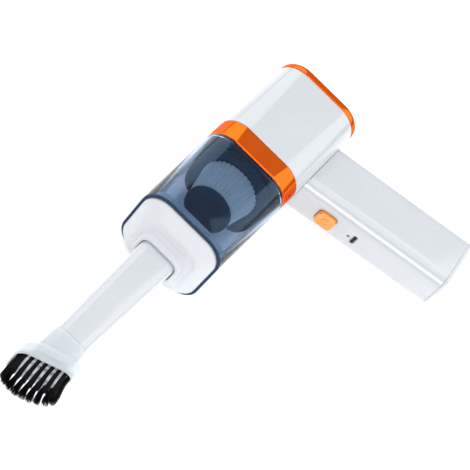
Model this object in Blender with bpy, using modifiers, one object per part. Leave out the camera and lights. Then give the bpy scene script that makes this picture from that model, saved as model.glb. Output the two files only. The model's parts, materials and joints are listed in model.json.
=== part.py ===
"""Cordless handheld vacuum, lying on its right side.

The body is a rounded square sleeve along X, with the nozzle at +X. The handle
leaves the body's underside along +Y and leans to the rear. +Z is the vacuum's
left side. Every length below is in metres and is measured from the body's own
axis; to_row() moves that axis to its place above the floor.
"""

from math import cos, pi, radians, sin, tan

import bmesh
import bpy
from mathutils import Matrix, Vector

GAP = 0.0003
CORNER_STEPS = 5

# Body: stations along X, rear to front
BODY_HALF = 0.033
BODY_CORNER = 0.0175
BODY_WALL = 0.002
REAR_X = 0.0271
HOUSING_REAR_X = 0.034
HOUSING_FRONT_X = 0.1017
RING_FRONT_X = 0.1174
CUP_FRONT_X = 0.187
CUP_FRONT_HALF = 0.032
CUP_WALL = 0.0018
CUP_TONGUE = 0.0042
CUP_TONGUE_WALL = 0.0011
GRILLE_HALF = 0.021
GRILLE_CORNER = 0.008
GRILLE_LIP = 0.0018
SLOT_PITCH = 0.0056
SLOT_WIDTH = 0.0022
SLOTS_EACH_SIDE = 3

# Front cap and its nozzle socket
CAP_X = 0.1884
PLATEAU_X = 0.1975
CAP_HALF = 0.0301
PLATEAU_HALF = 0.0222
COLLAR_X = 0.2045
COLLAR_HALF_Y = 0.0165
COLLAR_HALF_Z = 0.0133
SPIGOT_X = 0.1813
SPIGOT_WALL = 0.0016
SOCKET_FLOOR_X = 0.1908
SOCKET_WALL = 0.0017
DUCT_REAR_X = 0.1805
DUCT_HALF = (0.0153, 0.0120)
DUCT_BORE = (0.0120, 0.0086)
FLAP_HALF = (0.0135, 0.0102)
FLAP_THICK = 0.001
WIRE_PASSAGE = (0.016, 0.012, 0.012)
REAR_ROUND = 0.0030
REAR_BEVEL = 0.0010
GRILLE_INSET = 0.0004
GRILLE_FLANGE = 0.0010
SLOT_CUT = 0.014
SLOT_LENGTH = 0.034
CUP_TAPER = 0.0005
CUP_STEP = 0.0020
SEAL_PROUD = 0.0001
CAP_EDGE = 0.0010
CAP_STEP = 0.0015
CAP_SHOULDER = 0.0026
CAP_DROP = 0.0012
CAP_WALL = 0.0024
PLATEAU_CORNERS = (0.0112, 0.0106, 0.0100, 0.0092, 0.0085)
PLATEAU_SKIRT = 0.0013
PLATEAU_EDGE = 0.0008
PLATEAU_LIP = 0.0002
PLATEAU_DISH = 0.0001
PLATEAU_RIM = 0.0022
INSIDE_RIM = 0.0018
COLLAR_CORNERS = (0.0078, 0.0074, 0.0070, 0.0066)
COLLAR_FOOT = 0.0004
COLLAR_RISE = 0.0020
COLLAR_EDGE = 0.0010
COLLAR_ROUND = 0.0009
FOOT_SPREAD = (0.0013, 0.0022)
WAIST_SPREAD = (0.0004, 0.0006)
SOCKET_EASE = 0.0004
SOCKET_LEAD = 0.0005
SOCKET_CHAMFER = 0.0007
DUCT_CORNER = 0.0070
DUCT_BORE_CORNER = 0.0046
FLAP_CORNER = 0.0058

# Nozzle duct and brush
NOZZLE_REAR_X = 0.1913
NOZZLE_BASE_X = 0.209
NOZZLE_NARROW_X = 0.286
NOZZLE_FRONT_X = 0.311
NOZZLE_BASE_HALF = (0.01335, 0.0100)
NOZZLE_TIP_HALF = (0.0110, 0.0095)
NOZZLE_CORNER = 0.0058
NOZZLE_WALL = 0.0017
NECK_X = 0.293
NARROW_EXTRA = 0.00025
BORE_EASE = (0.0007, 0.0005)
NECK_WALL = 0.0012
RIM_FLARE = 0.0022
RIM_EDGE = 0.0007
MOUTH_CORNER = 0.0030
RIM_REAR_X = 0.3085
RIM_X = 0.3195
RIM_HALF = (0.0177, 0.0144)
RIM_REAR_SLANT = -0.36
NECK_CORNER = 0.0070
RIM_CORNER = 0.0082
MOUTH_HALF = (0.0104, 0.0072)
MOUTH_SLANT = -0.40
NOZZLE_TIP_SLANT = -0.30
NECK_SLANT = -0.10
TUFT_TIP_X = 0.3372
TUFT_TIP_SLANT = -0.25
TUFT_TIP_BOW = -20.0
TUFT_TIP_RISE = 0.21
TUFT_TIP_RADIUS = 0.0016
TUFT_RADIUS = 0.00125
TUFT_DEPTH = 0.004
TUFT_COUNT = 24
TUFT_PATH = (0.0148, 0.0118)
TUFT_PATH_CORNER = 0.0055
TUFT_FLARE = 0.07
TUFT_SWEEP = 0.0024
TUFT_SIDES = 8
STRIP_HALF = 0.00135
STRIP_THICK = 0.0014

# Filter
FILTER_BASE_X = 0.1192
FILTER_BASE_THICK = 0.0032
FILTER_BASE_RADIUS = 0.0289
PLEAT_BASE_RADIUS = 0.0215
PLEAT_TIP_RADIUS = 0.0168
PLEAT_FRONT_X = 0.143
PLEAT_DEPTH = 0.0022
PLEAT_COUNT = 30
FILTER_CAP_THICK = 0.0032
AIR_HOLE_RADIUS = 0.012
PAPER_THICK = 0.0012
SEAL_RADII = (0.0138, 0.0172)
DISC_EDGE = 0.0007
PAPER_INSET = 0.0002
SEAL_THICK = 0.0018
FILTER_NECK_RADIUS = 0.0175

# Fan and motor
BULKHEAD_X = 0.1095
BULKHEAD_THICK = 0.0025
SHROUD_REAR_X = 0.0945
SHROUD_RADIUS = 0.0285
IMPELLER_X = 0.0965
IMPELLER_RADIUS = 0.022
BLADE_COUNT = 9
BLADE_HEIGHT = 0.0062
SHAFT_RADIUS = 0.0015
SCREW_RADIUS = 0.0012
SCREW_SPREAD = 0.0245
SCREW_HEAD = 0.0014
SCREW_REACH = 0.0060
SHAFT_HOLE_RADIUS = 0.0026
SHAFT_EASE = 0.0001
SHAFT_REACH = 0.0085
INTAKE_RADIUS = 0.0028
HOLE_SIDES = 12
SHROUD_WALL = 0.0014
SCREW_CROWN = 0.0016
SCREW_RIM = 0.0023
BLADE_MIDDLE = 0.0130
BLADE_LENGTH = 0.0120
BLADE_THICK = 0.0010
AIR_HOLES = 8
AIR_HOLE_SPREAD = 0.0085
MOTOR_RADIUS = 0.013
MOTOR_REAR_X = 0.058
MOTOR_FRONT_X = 0.088
MOUNT_X = 0.068
MOUNT_THICK = 0.0025
VENT_RADIUS = 0.0050
VENT_SPREAD = 0.0235
BUSH_LENGTH = 0.0030
BUSH_RADIUS = 0.0040
DISC_THICK = 0.0014
HUB_RADIUS = 0.0045
HUB_LENGTH = 0.0050

# Handle, in its own frame: local X runs down the handle, local Y to its rear
HANDLE_LEAN = radians(11.2)
HANDLE_ROOT_X = 0.06465
HANDLE_HALF_DEEP = 0.024
HANDLE_HALF_WIDE = 0.017
HANDLE_CORNER = 0.010
HANDLE_WALL = 0.002
HANDLE_LENGTH = 0.1137
HANDLE_END_SLOPE = 0.092
END_CAP_THICK = 0.0032
BUTTON_S = 0.0217
BUTTON_HALF = (0.0070, 0.0064)
BUTTON_PROUD = 0.0026
BUTTON_FLANGE = 0.0010
BUTTON_LIP = 0.0012
SWITCH_HALF = 0.0030
SWITCH_BODY = 0.0012
STEM_RADIUS = 0.0016
LED_S = 0.0402
LED_RADIUS = 0.0008
USB_S = 0.0446
USB_HALF = (0.0016, 0.0045)
USB_SHELL = 0.0004
BOARD_FACE = 0.0169
BOARD_SIZE = (0.0420, 0.0012, 0.0200)
BOARD_S = 0.0335
CELL_RADIUS = 0.0092
CELL_LENGTH = 0.065
CELL_START = 0.0372
LEAD_RADIUS = 0.0007
LEAD_SPREAD = 0.0022
WINDOW_CUT = 0.008
PLUG_FLOOR = 0.0002
PLUG_DEPTH = 0.0050
END_ROUND = 0.0026
END_BEVEL = 0.0008
BUTTON_CORNER = 0.0030
BUTTON_ROUND = 0.0013
BUTTON_BEVEL = 0.0004
SWITCH_TRAVEL = 0.0016
SWITCH_CORNER = 0.0004
STEM_CORNER = 0.0012
LENS_SUNK = 0.0001
USB_SUNK = 0.0002
USB_CORNER = 0.0014
CELL_GAP = 0.0002

# Place of the body's axis in the row frame
SHIFT = Vector((-0.1799, -0.0569, BODY_HALF))

PARTS = "handheld_vacuum"
CUTTERS = "cutters"


def clear_scene():
    for leftover in list(bpy.data.objects):
        bpy.data.objects.remove(leftover, do_unlink=True)


def collection(name):
    made = bpy.data.collections.new(name)
    bpy.context.scene.collection.children.link(made)
    return made


def finish_material(name, colour, roughness, metallic=0.0, alpha=1.0):
    material = bpy.data.materials.new(name)
    material.use_nodes = True
    shader = material.node_tree.nodes["Principled BSDF"]
    shader.inputs["Base Color"].default_value = (*colour, 1.0)
    shader.inputs["Roughness"].default_value = roughness
    shader.inputs["Metallic"].default_value = metallic
    shader.inputs["Alpha"].default_value = alpha
    return material


def to_row(local=Matrix.Identity(4)):
    """Matrix that places a mesh made around the body's axis, or in a local frame on it."""
    return Matrix.Translation(SHIFT) @ local


def handle_frame():
    """Local X down the handle from the body's underside, local Y to the rear."""
    root = Matrix.Translation((HANDLE_ROOT_X, BODY_HALF, 0.0))
    return root @ Matrix.Rotation(pi / 2 + HANDLE_LEAN, 4, "Z")


def along_x(x):
    """Local frame whose Z runs along the body's axis, starting at x."""
    return Matrix.Translation((x, 0.0, 0.0)) @ Matrix.Rotation(pi / 2, 4, "Y")


def keep(mesh, name, material, local=Matrix.Identity(4), folder=PARTS):
    """Turn a bmesh into an object of the given collection."""
    bmesh.ops.recalc_face_normals(mesh, faces=mesh.faces)
    data = bpy.data.meshes.new(name)
    mesh.to_mesh(data)
    mesh.free()
    made = bpy.data.objects.new(name, data)
    made.matrix_world = to_row(local)
    bpy.data.collections[folder].objects.link(made)
    if material:
        data.materials.append(material)
    if folder == CUTTERS:
        made.hide_render = True
        made.display_type = "WIRE"
    data.shade_smooth()
    data.set_sharp_from_angle(angle=radians(35))
    return made


def cut(target, cutter, operation="DIFFERENCE"):
    boolean = target.modifiers.new(cutter.name, "BOOLEAN")
    boolean.operation = operation
    boolean.object = cutter


def rounded_ring(half_y, half_z, radius):
    """Points of a rounded rectangle, counter-clockwise seen from +X."""
    points = []
    for quarter in range(4):
        start = quarter * pi / 2
        side_y = 1 if quarter in (0, 3) else -1
        side_z = 1 if quarter in (0, 1) else -1
        for step in range(CORNER_STEPS + 1):
            angle = start + step * pi / 2 / CORNER_STEPS
            y = side_y * (half_y - radius) + radius * cos(angle)
            z = side_z * (half_z - radius) + radius * sin(angle)
            points.append((y, z))
    return points


def station(x, half_y, half_z, radius, slant=0.0):
    """One rounded rectangle across X; slant is how far X moves for each unit of Y."""
    return [Vector((x + slant * y, y, z)) for y, z in rounded_ring(half_y, half_z, radius)]


def square(x, half, radius):
    return station(x, half, half, radius)


def skin_rows(mesh, rows, closed_loop=False):
    """Faces between neighbouring rows of vertices, and end faces unless the rows close up."""
    count = len(rows[0])
    pairs = list(zip(rows, rows[1:]))
    if closed_loop:
        pairs.append((rows[-1], rows[0]))
    else:
        mesh.faces.new(rows[0])
        mesh.faces.new(rows[-1])
    for first, second in pairs:
        for i in range(count):
            j = (i + 1) % count
            mesh.faces.new((first[i], first[j], second[j], second[i]))


def loft(name, rings, material, closed_loop, local=Matrix.Identity(4), folder=PARTS):
    """Skin through rings of equal point count: a ring of rings, or a solid with two end faces."""
    mesh = bmesh.new()
    rows = [[mesh.verts.new(point) for point in ring] for ring in rings]
    skin_rows(mesh, rows, closed_loop)
    return keep(mesh, name, material, local, folder)


def boxes(name, placed, material=None, local=Matrix.Identity(4), folder=PARTS):
    """Separate boxes in one object; each entry is a size and a matrix."""
    mesh = bmesh.new()
    for size, matrix in placed:
        bmesh.ops.create_cube(mesh, size=1.0, matrix=matrix @ Matrix.Diagonal((*size, 1.0)))
    return keep(mesh, name, material, local, folder)


def rods(name, placed, material=None, local=Matrix.Identity(4), folder=PARTS, sides=12):
    """Separate round rods in one object; each entry is (radius, tip radius, start, end)."""
    mesh = bmesh.new()
    for radius, tip_radius, start, end in placed:
        along = Vector(end) - Vector(start)
        turn = along.to_track_quat("Z", "Y").to_matrix().to_4x4()
        middle = Matrix.Translation((Vector(start) + Vector(end)) / 2)
        bmesh.ops.create_cone(
            mesh,
            cap_ends=True,
            segments=sides,
            radius1=radius,
            radius2=tip_radius,
            depth=along.length,
            matrix=middle @ turn,
        )
    return keep(mesh, name, material, local, folder)


def sleeve(name, x_rear, x_front, half, radius, wall, material):
    """Rounded square sleeve along X: a box open at both ends, its long edges rounded, then a wall."""
    mesh = bmesh.new()
    middle = Matrix.Translation(((x_rear + x_front) / 2, 0.0, 0.0))
    size = Matrix.Diagonal((x_front - x_rear, 2 * half, 2 * half, 1.0))
    bmesh.ops.create_cube(mesh, size=1.0, matrix=middle @ size)
    ends = [face for face in mesh.faces if abs(face.normal.x) > 0.9]
    bmesh.ops.delete(mesh, geom=ends, context="FACES_ONLY")
    long_edges = [
        edge for edge in mesh.edges if abs(edge.verts[0].co.x - edge.verts[1].co.x) > GAP
    ]
    bmesh.ops.bevel(
        mesh, geom=long_edges, offset=radius, segments=CORNER_STEPS, profile=0.5, affect="EDGES"
    )
    made = keep(mesh, name, material)
    shell = made.modifiers.new("wall", "SOLIDIFY")
    shell.thickness = wall
    shell.offset = -1.0
    shell.use_even_offset = True
    return made


def plate(name, x_rear, thick, outline, holes, material):
    """Flat plate across the body's axis: a filled 2D curve, extruded both ways."""
    curve = bpy.data.curves.new(name, "CURVE")
    curve.dimensions = "2D"
    curve.fill_mode = "BOTH"
    curve.extrude = thick / 2
    for points in [outline, *holes]:
        spline = curve.splines.new("POLY")
        spline.points.add(len(points) - 1)
        for spot, (y, z) in zip(spline.points, points):
            spot.co = (-z, y, 0.0, 1.0)
        spline.use_cyclic_u = True
    curve.materials.append(material)
    made = bpy.data.objects.new(name, curve)
    made.matrix_world = to_row(along_x(x_rear + thick / 2))
    bpy.data.collections[PARTS].objects.link(made)
    return made


def circle(radius, sides=16, y=0.0, z=0.0):
    return [
        (y + radius * cos(2 * pi * i / sides), z + radius * sin(2 * pi * i / sides))
        for i in range(sides)
    ]


def turned(name, profile, material, sides=32):
    """Piece turned round the body's axis from a closed outline of (x, radius) points.

    The outline is turned round if need be, so that it runs to the rear on its outer side.
    """
    data = bpy.data.meshes.new(name)
    pairs = zip(profile, profile[1:] + profile[:1])
    area = sum(x * next_radius - next_x * radius for (x, radius), (next_x, next_radius) in pairs)
    if area < 0:
        profile = profile[::-1]
    points = [(radius, 0.0, x) for x, radius in profile]
    edges = [(i, (i + 1) % len(points)) for i in range(len(points))]
    data.from_pydata(points, edges, [])
    data.materials.append(material)
    made = bpy.data.objects.new(name, data)
    made.matrix_world = to_row(along_x(0.0))
    bpy.data.collections[PARTS].objects.link(made)
    spin = made.modifiers.new("turn", "SCREW")
    spin.steps = sides
    spin.render_steps = sides
    spin.use_merge_vertices = True
    spin.merge_threshold = 0.00001
    return made


def screw_spots():
    """Four screw centres on the body's diagonals, as (y, z)."""
    return [
        (SCREW_SPREAD * cos(pi / 4 + i * pi / 2), SCREW_SPREAD * sin(pi / 4 + i * pi / 2))
        for i in range(4)
    ]


def make_housing(finish):
    """White motor sleeve with a wire passage into the handle."""
    housing = sleeve(
        "motor_housing",
        HOUSING_REAR_X + GAP / 2,
        HOUSING_FRONT_X - GAP / 2,
        BODY_HALF,
        BODY_CORNER,
        BODY_WALL,
        finish["white"],
    )
    passage = Matrix.Translation((HANDLE_ROOT_X, BODY_HALF, 0.0))
    cut(housing, boxes("wire_passage", [(WIRE_PASSAGE, passage)], folder=CUTTERS))


def make_rear_cap(finish):
    """Orange rear cap with a rounded edge, and the exhaust grille held in its opening."""
    inner = BODY_HALF - BODY_WALL
    rings = [
        square(HOUSING_REAR_X - GAP / 2, BODY_HALF, BODY_CORNER),
        square(REAR_X + REAR_ROUND, BODY_HALF, BODY_CORNER),
        square(REAR_X + REAR_BEVEL, BODY_HALF - REAR_BEVEL, BODY_CORNER - REAR_BEVEL),
        square(REAR_X, BODY_HALF - REAR_ROUND, BODY_CORNER - REAR_ROUND),
        square(REAR_X, GRILLE_HALF + GAP, GRILLE_CORNER + GAP),
        square(REAR_X + BODY_WALL, GRILLE_HALF + GAP, GRILLE_CORNER + GAP),
        square(REAR_X + BODY_WALL, inner - BODY_WALL, BODY_CORNER - 2 * BODY_WALL),
        square(REAR_X + REAR_ROUND + REAR_BEVEL, inner, BODY_CORNER - BODY_WALL),
        square(HOUSING_REAR_X - GAP / 2, inner, BODY_CORNER - BODY_WALL),
    ]
    loft("rear_cap", rings, finish["orange"], closed_loop=True)
    flange_x = REAR_X + BODY_WALL + GAP
    rings = [
        square(REAR_X + GRILLE_INSET, GRILLE_HALF, GRILLE_CORNER),
        square(flange_x, GRILLE_HALF, GRILLE_CORNER),
        square(flange_x, GRILLE_HALF + GRILLE_LIP, GRILLE_CORNER + GRILLE_LIP),
        square(flange_x + GRILLE_FLANGE, GRILLE_HALF + GRILLE_LIP, GRILLE_CORNER + GRILLE_LIP),
    ]
    grille = loft("exhaust_grille", rings, finish["black"], closed_loop=False)
    slots = []
    for i in range(-SLOTS_EACH_SIDE, SLOTS_EACH_SIDE + 1):
        place = Matrix.Translation((REAR_X, 0.0, i * SLOT_PITCH))
        slots.append(((SLOT_CUT, SLOT_LENGTH, SLOT_WIDTH), place))
    cut(grille, boxes("exhaust_slots", slots, folder=CUTTERS))


def make_front_ring(finish):
    sleeve(
        "front_ring",
        HOUSING_FRONT_X + GAP / 2,
        RING_FRONT_X,
        BODY_HALF,
        BODY_CORNER,
        BODY_WALL,
        finish["orange"],
    )


def make_cup(finish):
    """Transparent cup; its stepped tongue slides into the front ring."""
    tongue_half = BODY_HALF - BODY_WALL - GAP
    tongue_corner = BODY_CORNER - BODY_WALL - GAP
    start_x = RING_FRONT_X - CUP_TONGUE
    step_x = RING_FRONT_X + GAP
    inner = BODY_HALF - CUP_WALL
    corner = BODY_CORNER - CUP_WALL
    front_corner = BODY_CORNER - CUP_TAPER
    rings = [
        square(start_x, tongue_half, tongue_corner),
        square(step_x, tongue_half, tongue_corner),
        square(step_x, BODY_HALF, BODY_CORNER),
        square(CUP_FRONT_X, CUP_FRONT_HALF, front_corner),
        square(CUP_FRONT_X, CUP_FRONT_HALF - CUP_WALL, front_corner - CUP_WALL),
        square(step_x + CUP_STEP, inner, corner),
        square(start_x, tongue_half - CUP_TONGUE_WALL, tongue_corner - CUP_TONGUE_WALL),
    ]
    loft("dust_cup", rings, finish["smoke"], closed_loop=True)
    half = CUP_FRONT_HALF + SEAL_PROUD
    spigot = CUP_FRONT_HALF - CUP_WALL
    rings = [
        square(CUP_FRONT_X + GAP, half, front_corner),
        square(CAP_X - GAP, half, front_corner),
        square(CAP_X - GAP, spigot, front_corner - CUP_WALL),
        square(CUP_FRONT_X + GAP, spigot, front_corner - CUP_WALL),
    ]
    loft("cup_seal", rings, finish["rubber"], closed_loop=True)


def make_front_cap(finish):
    """White cap: spigot into the cup, tapered front, dished plateau, collar and socket."""
    front_corner = BODY_CORNER - CUP_TAPER
    spigot = CUP_FRONT_HALF - CUP_WALL - GAP
    spigot_corner = front_corner - CUP_WALL - GAP
    spigot_in = spigot - SPIGOT_WALL
    spigot_in_corner = spigot_corner - SPIGOT_WALL
    socket = (NOZZLE_BASE_HALF[0] + SOCKET_EASE, NOZZLE_BASE_HALF[1] + SOCKET_EASE)
    socket_corner = NOZZLE_CORNER + GAP
    collar_foot = (COLLAR_HALF_Y + FOOT_SPREAD[0], COLLAR_HALF_Z + FOOT_SPREAD[1], COLLAR_CORNERS[0])
    collar_waist = (COLLAR_HALF_Y + WAIST_SPREAD[0], COLLAR_HALF_Z + WAIST_SPREAD[1], COLLAR_CORNERS[1])
    collar_top = (COLLAR_HALF_Y - COLLAR_ROUND, COLLAR_HALF_Z - COLLAR_ROUND, COLLAR_CORNERS[3])
    boss = (socket[0] + SOCKET_WALL, socket[1] + SOCKET_WALL, socket_corner + SOCKET_WALL)
    rings = [
        square(SPIGOT_X, spigot, spigot_corner),
        square(CAP_X, spigot, spigot_corner),
        square(CAP_X, CAP_HALF, front_corner - CAP_STEP),
        square(CAP_X + CAP_EDGE, CAP_HALF, front_corner - CAP_STEP),
        square(CAP_X + CAP_SHOULDER, CAP_HALF - CAP_DROP, front_corner - CAP_WALL),
        square(PLATEAU_X - PLATEAU_EDGE, PLATEAU_HALF + PLATEAU_SKIRT, PLATEAU_CORNERS[0]),
        square(PLATEAU_X, PLATEAU_HALF, PLATEAU_CORNERS[1]),
        square(PLATEAU_X + PLATEAU_LIP, PLATEAU_HALF - PLATEAU_EDGE, PLATEAU_CORNERS[2]),
        square(PLATEAU_X - PLATEAU_DISH, PLATEAU_HALF - PLATEAU_RIM, PLATEAU_CORNERS[3]),
        station(PLATEAU_X + COLLAR_FOOT, *collar_foot),
        station(PLATEAU_X + COLLAR_RISE, *collar_waist),
        station(COLLAR_X - COLLAR_EDGE, COLLAR_HALF_Y, COLLAR_HALF_Z, COLLAR_CORNERS[2]),
        station(COLLAR_X, *collar_top),
        station(COLLAR_X, *[reach + SOCKET_LEAD for reach in (*socket, socket_corner)]),
        station(COLLAR_X - SOCKET_CHAMFER, *socket, socket_corner),
        station(SOCKET_FLOOR_X, *socket, socket_corner),
        station(SOCKET_FLOOR_X, *boss),
        station(PLATEAU_X - PLATEAU_RIM, *boss),
        square(PLATEAU_X - CAP_WALL, PLATEAU_HALF - INSIDE_RIM, PLATEAU_CORNERS[4]),
        square(CAP_X + CAP_DROP, spigot_in - CAP_DROP, spigot_in_corner - CAP_EDGE),
        square(CAP_X - CAP_STEP, spigot_in, spigot_in_corner),
        square(SPIGOT_X, spigot_in, spigot_in_corner),
    ]
    loft("front_cap", rings, finish["white"], closed_loop=True)
    duct_front = SOCKET_FLOOR_X - GAP
    rings = [
        station(DUCT_REAR_X, *DUCT_HALF, DUCT_CORNER),
        station(duct_front, *DUCT_HALF, DUCT_CORNER),
        station(duct_front, *DUCT_BORE, DUCT_BORE_CORNER),
        station(DUCT_REAR_X, *DUCT_BORE, DUCT_BORE_CORNER),
    ]
    loft("inlet_duct", rings, finish["black"], closed_loop=True)
    rings = [
        station(DUCT_REAR_X - GAP - FLAP_THICK, *FLAP_HALF, FLAP_CORNER),
        station(DUCT_REAR_X - GAP, *FLAP_HALF, FLAP_CORNER),
    ]
    loft("inlet_flap", rings, finish["rubber"], closed_loop=False)


def make_nozzle(finish):
    """Tapered duct with a rounded rectangular section and a slanted mouth."""
    wall = NOZZLE_WALL
    inner_corner = NOZZLE_CORNER - wall
    base_y, base_z = NOZZLE_BASE_HALF
    tip_y, tip_z = NOZZLE_TIP_HALF
    narrow_y = tip_y + NARROW_EXTRA
    rings = [
        station(NOZZLE_REAR_X, base_y, base_z, NOZZLE_CORNER),
        station(NOZZLE_BASE_X, base_y, base_z, NOZZLE_CORNER),
        station(NOZZLE_NARROW_X, narrow_y, tip_z, NOZZLE_CORNER, NECK_SLANT),
        station(NOZZLE_FRONT_X, tip_y, tip_z, NOZZLE_CORNER, NOZZLE_TIP_SLANT),
        station(NOZZLE_FRONT_X, tip_y - wall, tip_z - wall, inner_corner, NOZZLE_TIP_SLANT),
        station(NOZZLE_NARROW_X, narrow_y - wall, tip_z - wall, inner_corner, NECK_SLANT),
        station(NOZZLE_REAR_X, base_y - wall, base_z - wall, inner_corner),
    ]
    loft("nozzle_tube", rings, finish["white"], closed_loop=True)


def round_path(half_y, half_z, radius, travel):
    """Point at an arc length on a rounded rectangle, from the middle of its +Y side."""
    straight_y = 2 * (half_y - radius)
    straight_z = 2 * (half_z - radius)
    bend = radius * pi / 2
    travel = travel + straight_z / 2
    for quarter in range(4):
        straight = straight_z if quarter % 2 == 0 else straight_y
        turn = Matrix.Rotation(quarter * pi / 2, 2)
        out, along = (half_y, half_z) if quarter % 2 == 0 else (half_z, half_y)
        if travel <= straight:
            return turn @ Vector((out, travel - straight / 2))
        travel -= straight
        if travel <= bend:
            angle = travel / radius
            corner = Vector((out - radius, along - radius))
            return turn @ (corner + radius * Vector((cos(angle), sin(angle))))
        travel -= bend
    return Vector((half_y, travel - straight_z / 2))


def tuft_spots():
    """Root centres spread evenly round the middle of the rim, as (y, z)."""
    half_y, half_z = TUFT_PATH
    length = 4 * (half_y + half_z) - (8 - 2 * pi) * TUFT_PATH_CORNER
    return [
        tuple(round_path(half_y, half_z, TUFT_PATH_CORNER, i * length / TUFT_COUNT))
        for i in range(TUFT_COUNT)
    ]


def make_brush(finish):
    """Clear sleeve over the duct's tip, with a groove in its rim that holds the bristle strip."""
    tube_y, tube_z = NOZZLE_TIP_HALF
    bore = (tube_y + BORE_EASE[0], tube_z + BORE_EASE[1])
    bore_corner = NOZZLE_CORNER + GAP
    neck = (tube_y + BORE_EASE[0] + NECK_WALL, tube_z + BORE_EASE[1] + NECK_WALL)
    shoulder_x = NOZZLE_FRONT_X + GAP
    path_y, path_z = TUFT_PATH
    slot = STRIP_HALF + GAP
    groove_out = (path_y + slot, path_z + slot, TUFT_PATH_CORNER + slot)
    groove_in = (path_y - slot, path_z - slot, TUFT_PATH_CORNER - slot)
    floor_x = RIM_X - TUFT_DEPTH
    rings = [
        station(NECK_X, *bore, bore_corner),
        station(NECK_X, *neck, NECK_CORNER),
        station(RIM_REAR_X - RIM_FLARE, *neck, NECK_CORNER, RIM_REAR_SLANT),
        station(
            RIM_REAR_X, RIM_HALF[0] - NECK_WALL, RIM_HALF[1] - NECK_WALL, RIM_CORNER, RIM_REAR_SLANT
        ),
        station(RIM_REAR_X + RIM_FLARE, *RIM_HALF, RIM_CORNER, RIM_REAR_SLANT),
        station(RIM_X - RIM_EDGE, *RIM_HALF, RIM_CORNER, MOUTH_SLANT),
        station(RIM_X, RIM_HALF[0] - RIM_EDGE, RIM_HALF[1] - RIM_EDGE, RIM_CORNER, MOUTH_SLANT),
        station(RIM_X, *groove_out, MOUTH_SLANT),
        station(floor_x, *groove_out, MOUTH_SLANT),
        station(floor_x, *groove_in, MOUTH_SLANT),
        station(RIM_X, *groove_in, MOUTH_SLANT),
        station(RIM_X, *MOUTH_HALF, MOUTH_CORNER, MOUTH_SLANT),
        station(shoulder_x, *MOUTH_HALF, MOUTH_CORNER, NOZZLE_TIP_SLANT),
        station(shoulder_x, *bore, bore_corner, NOZZLE_TIP_SLANT),
    ]
    loft("brush_sleeve", rings, finish["clear"], closed_loop=True)

    strip_rear = floor_x + GAP
    strip_front = strip_rear + STRIP_THICK
    strip_out = (path_y + STRIP_HALF, path_z + STRIP_HALF, TUFT_PATH_CORNER + STRIP_HALF)
    strip_in = (path_y - STRIP_HALF, path_z - STRIP_HALF, TUFT_PATH_CORNER - STRIP_HALF)
    rings = [
        station(strip_rear, *strip_out, MOUTH_SLANT),
        station(strip_front, *strip_out, MOUTH_SLANT),
        station(strip_front, *strip_in, MOUTH_SLANT),
        station(strip_rear, *strip_in, MOUTH_SLANT),
    ]
    strip = loft("bristle_tufts", rings, finish["bristle"], closed_loop=True)
    tufts = []
    for y, z in tuft_spots():
        foot = Vector((strip_front - STRIP_THICK / 2 + MOUTH_SLANT * y, y, z))
        bend = Vector((RIM_X + MOUTH_SLANT * y, y, z))
        tufts.append((foot, bend, tuft_tip(y, z)))
    cut(strip, tuft_rods(tufts), "UNION")


def tuft_tip(y, z):
    """Tip of the tuft rooted at (y, z): flared, swept towards the handle, on a domed front."""
    tip_y = y * (1 + TUFT_FLARE) + TUFT_SWEEP
    tip_z = z * (1 + TUFT_FLARE)
    dome = TUFT_TIP_SLANT * tip_y + TUFT_TIP_BOW * tip_y**2 + TUFT_TIP_RISE * tip_z
    return Vector((TUFT_TIP_X + dome, tip_y, tip_z))


def tuft_rods(tufts):
    """Tufts as rods: straight in the groove, then flared to the tip."""
    mesh = bmesh.new()
    for foot, bend, tip in tufts:
        rows = []
        for centre, radius in ((foot, TUFT_RADIUS), (bend, TUFT_RADIUS), (tip, TUFT_TIP_RADIUS)):
            row = []
            for i in range(TUFT_SIDES):
                angle = 2 * pi * (i + 0.5) / TUFT_SIDES
                round_it = Vector((0.0, radius * cos(angle), radius * sin(angle)))
                row.append(mesh.verts.new(centre + round_it))
            rows.append(row)
        skin_rows(mesh, rows)
    return keep(mesh, "tuft_rods", None, folder=CUTTERS)


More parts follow.
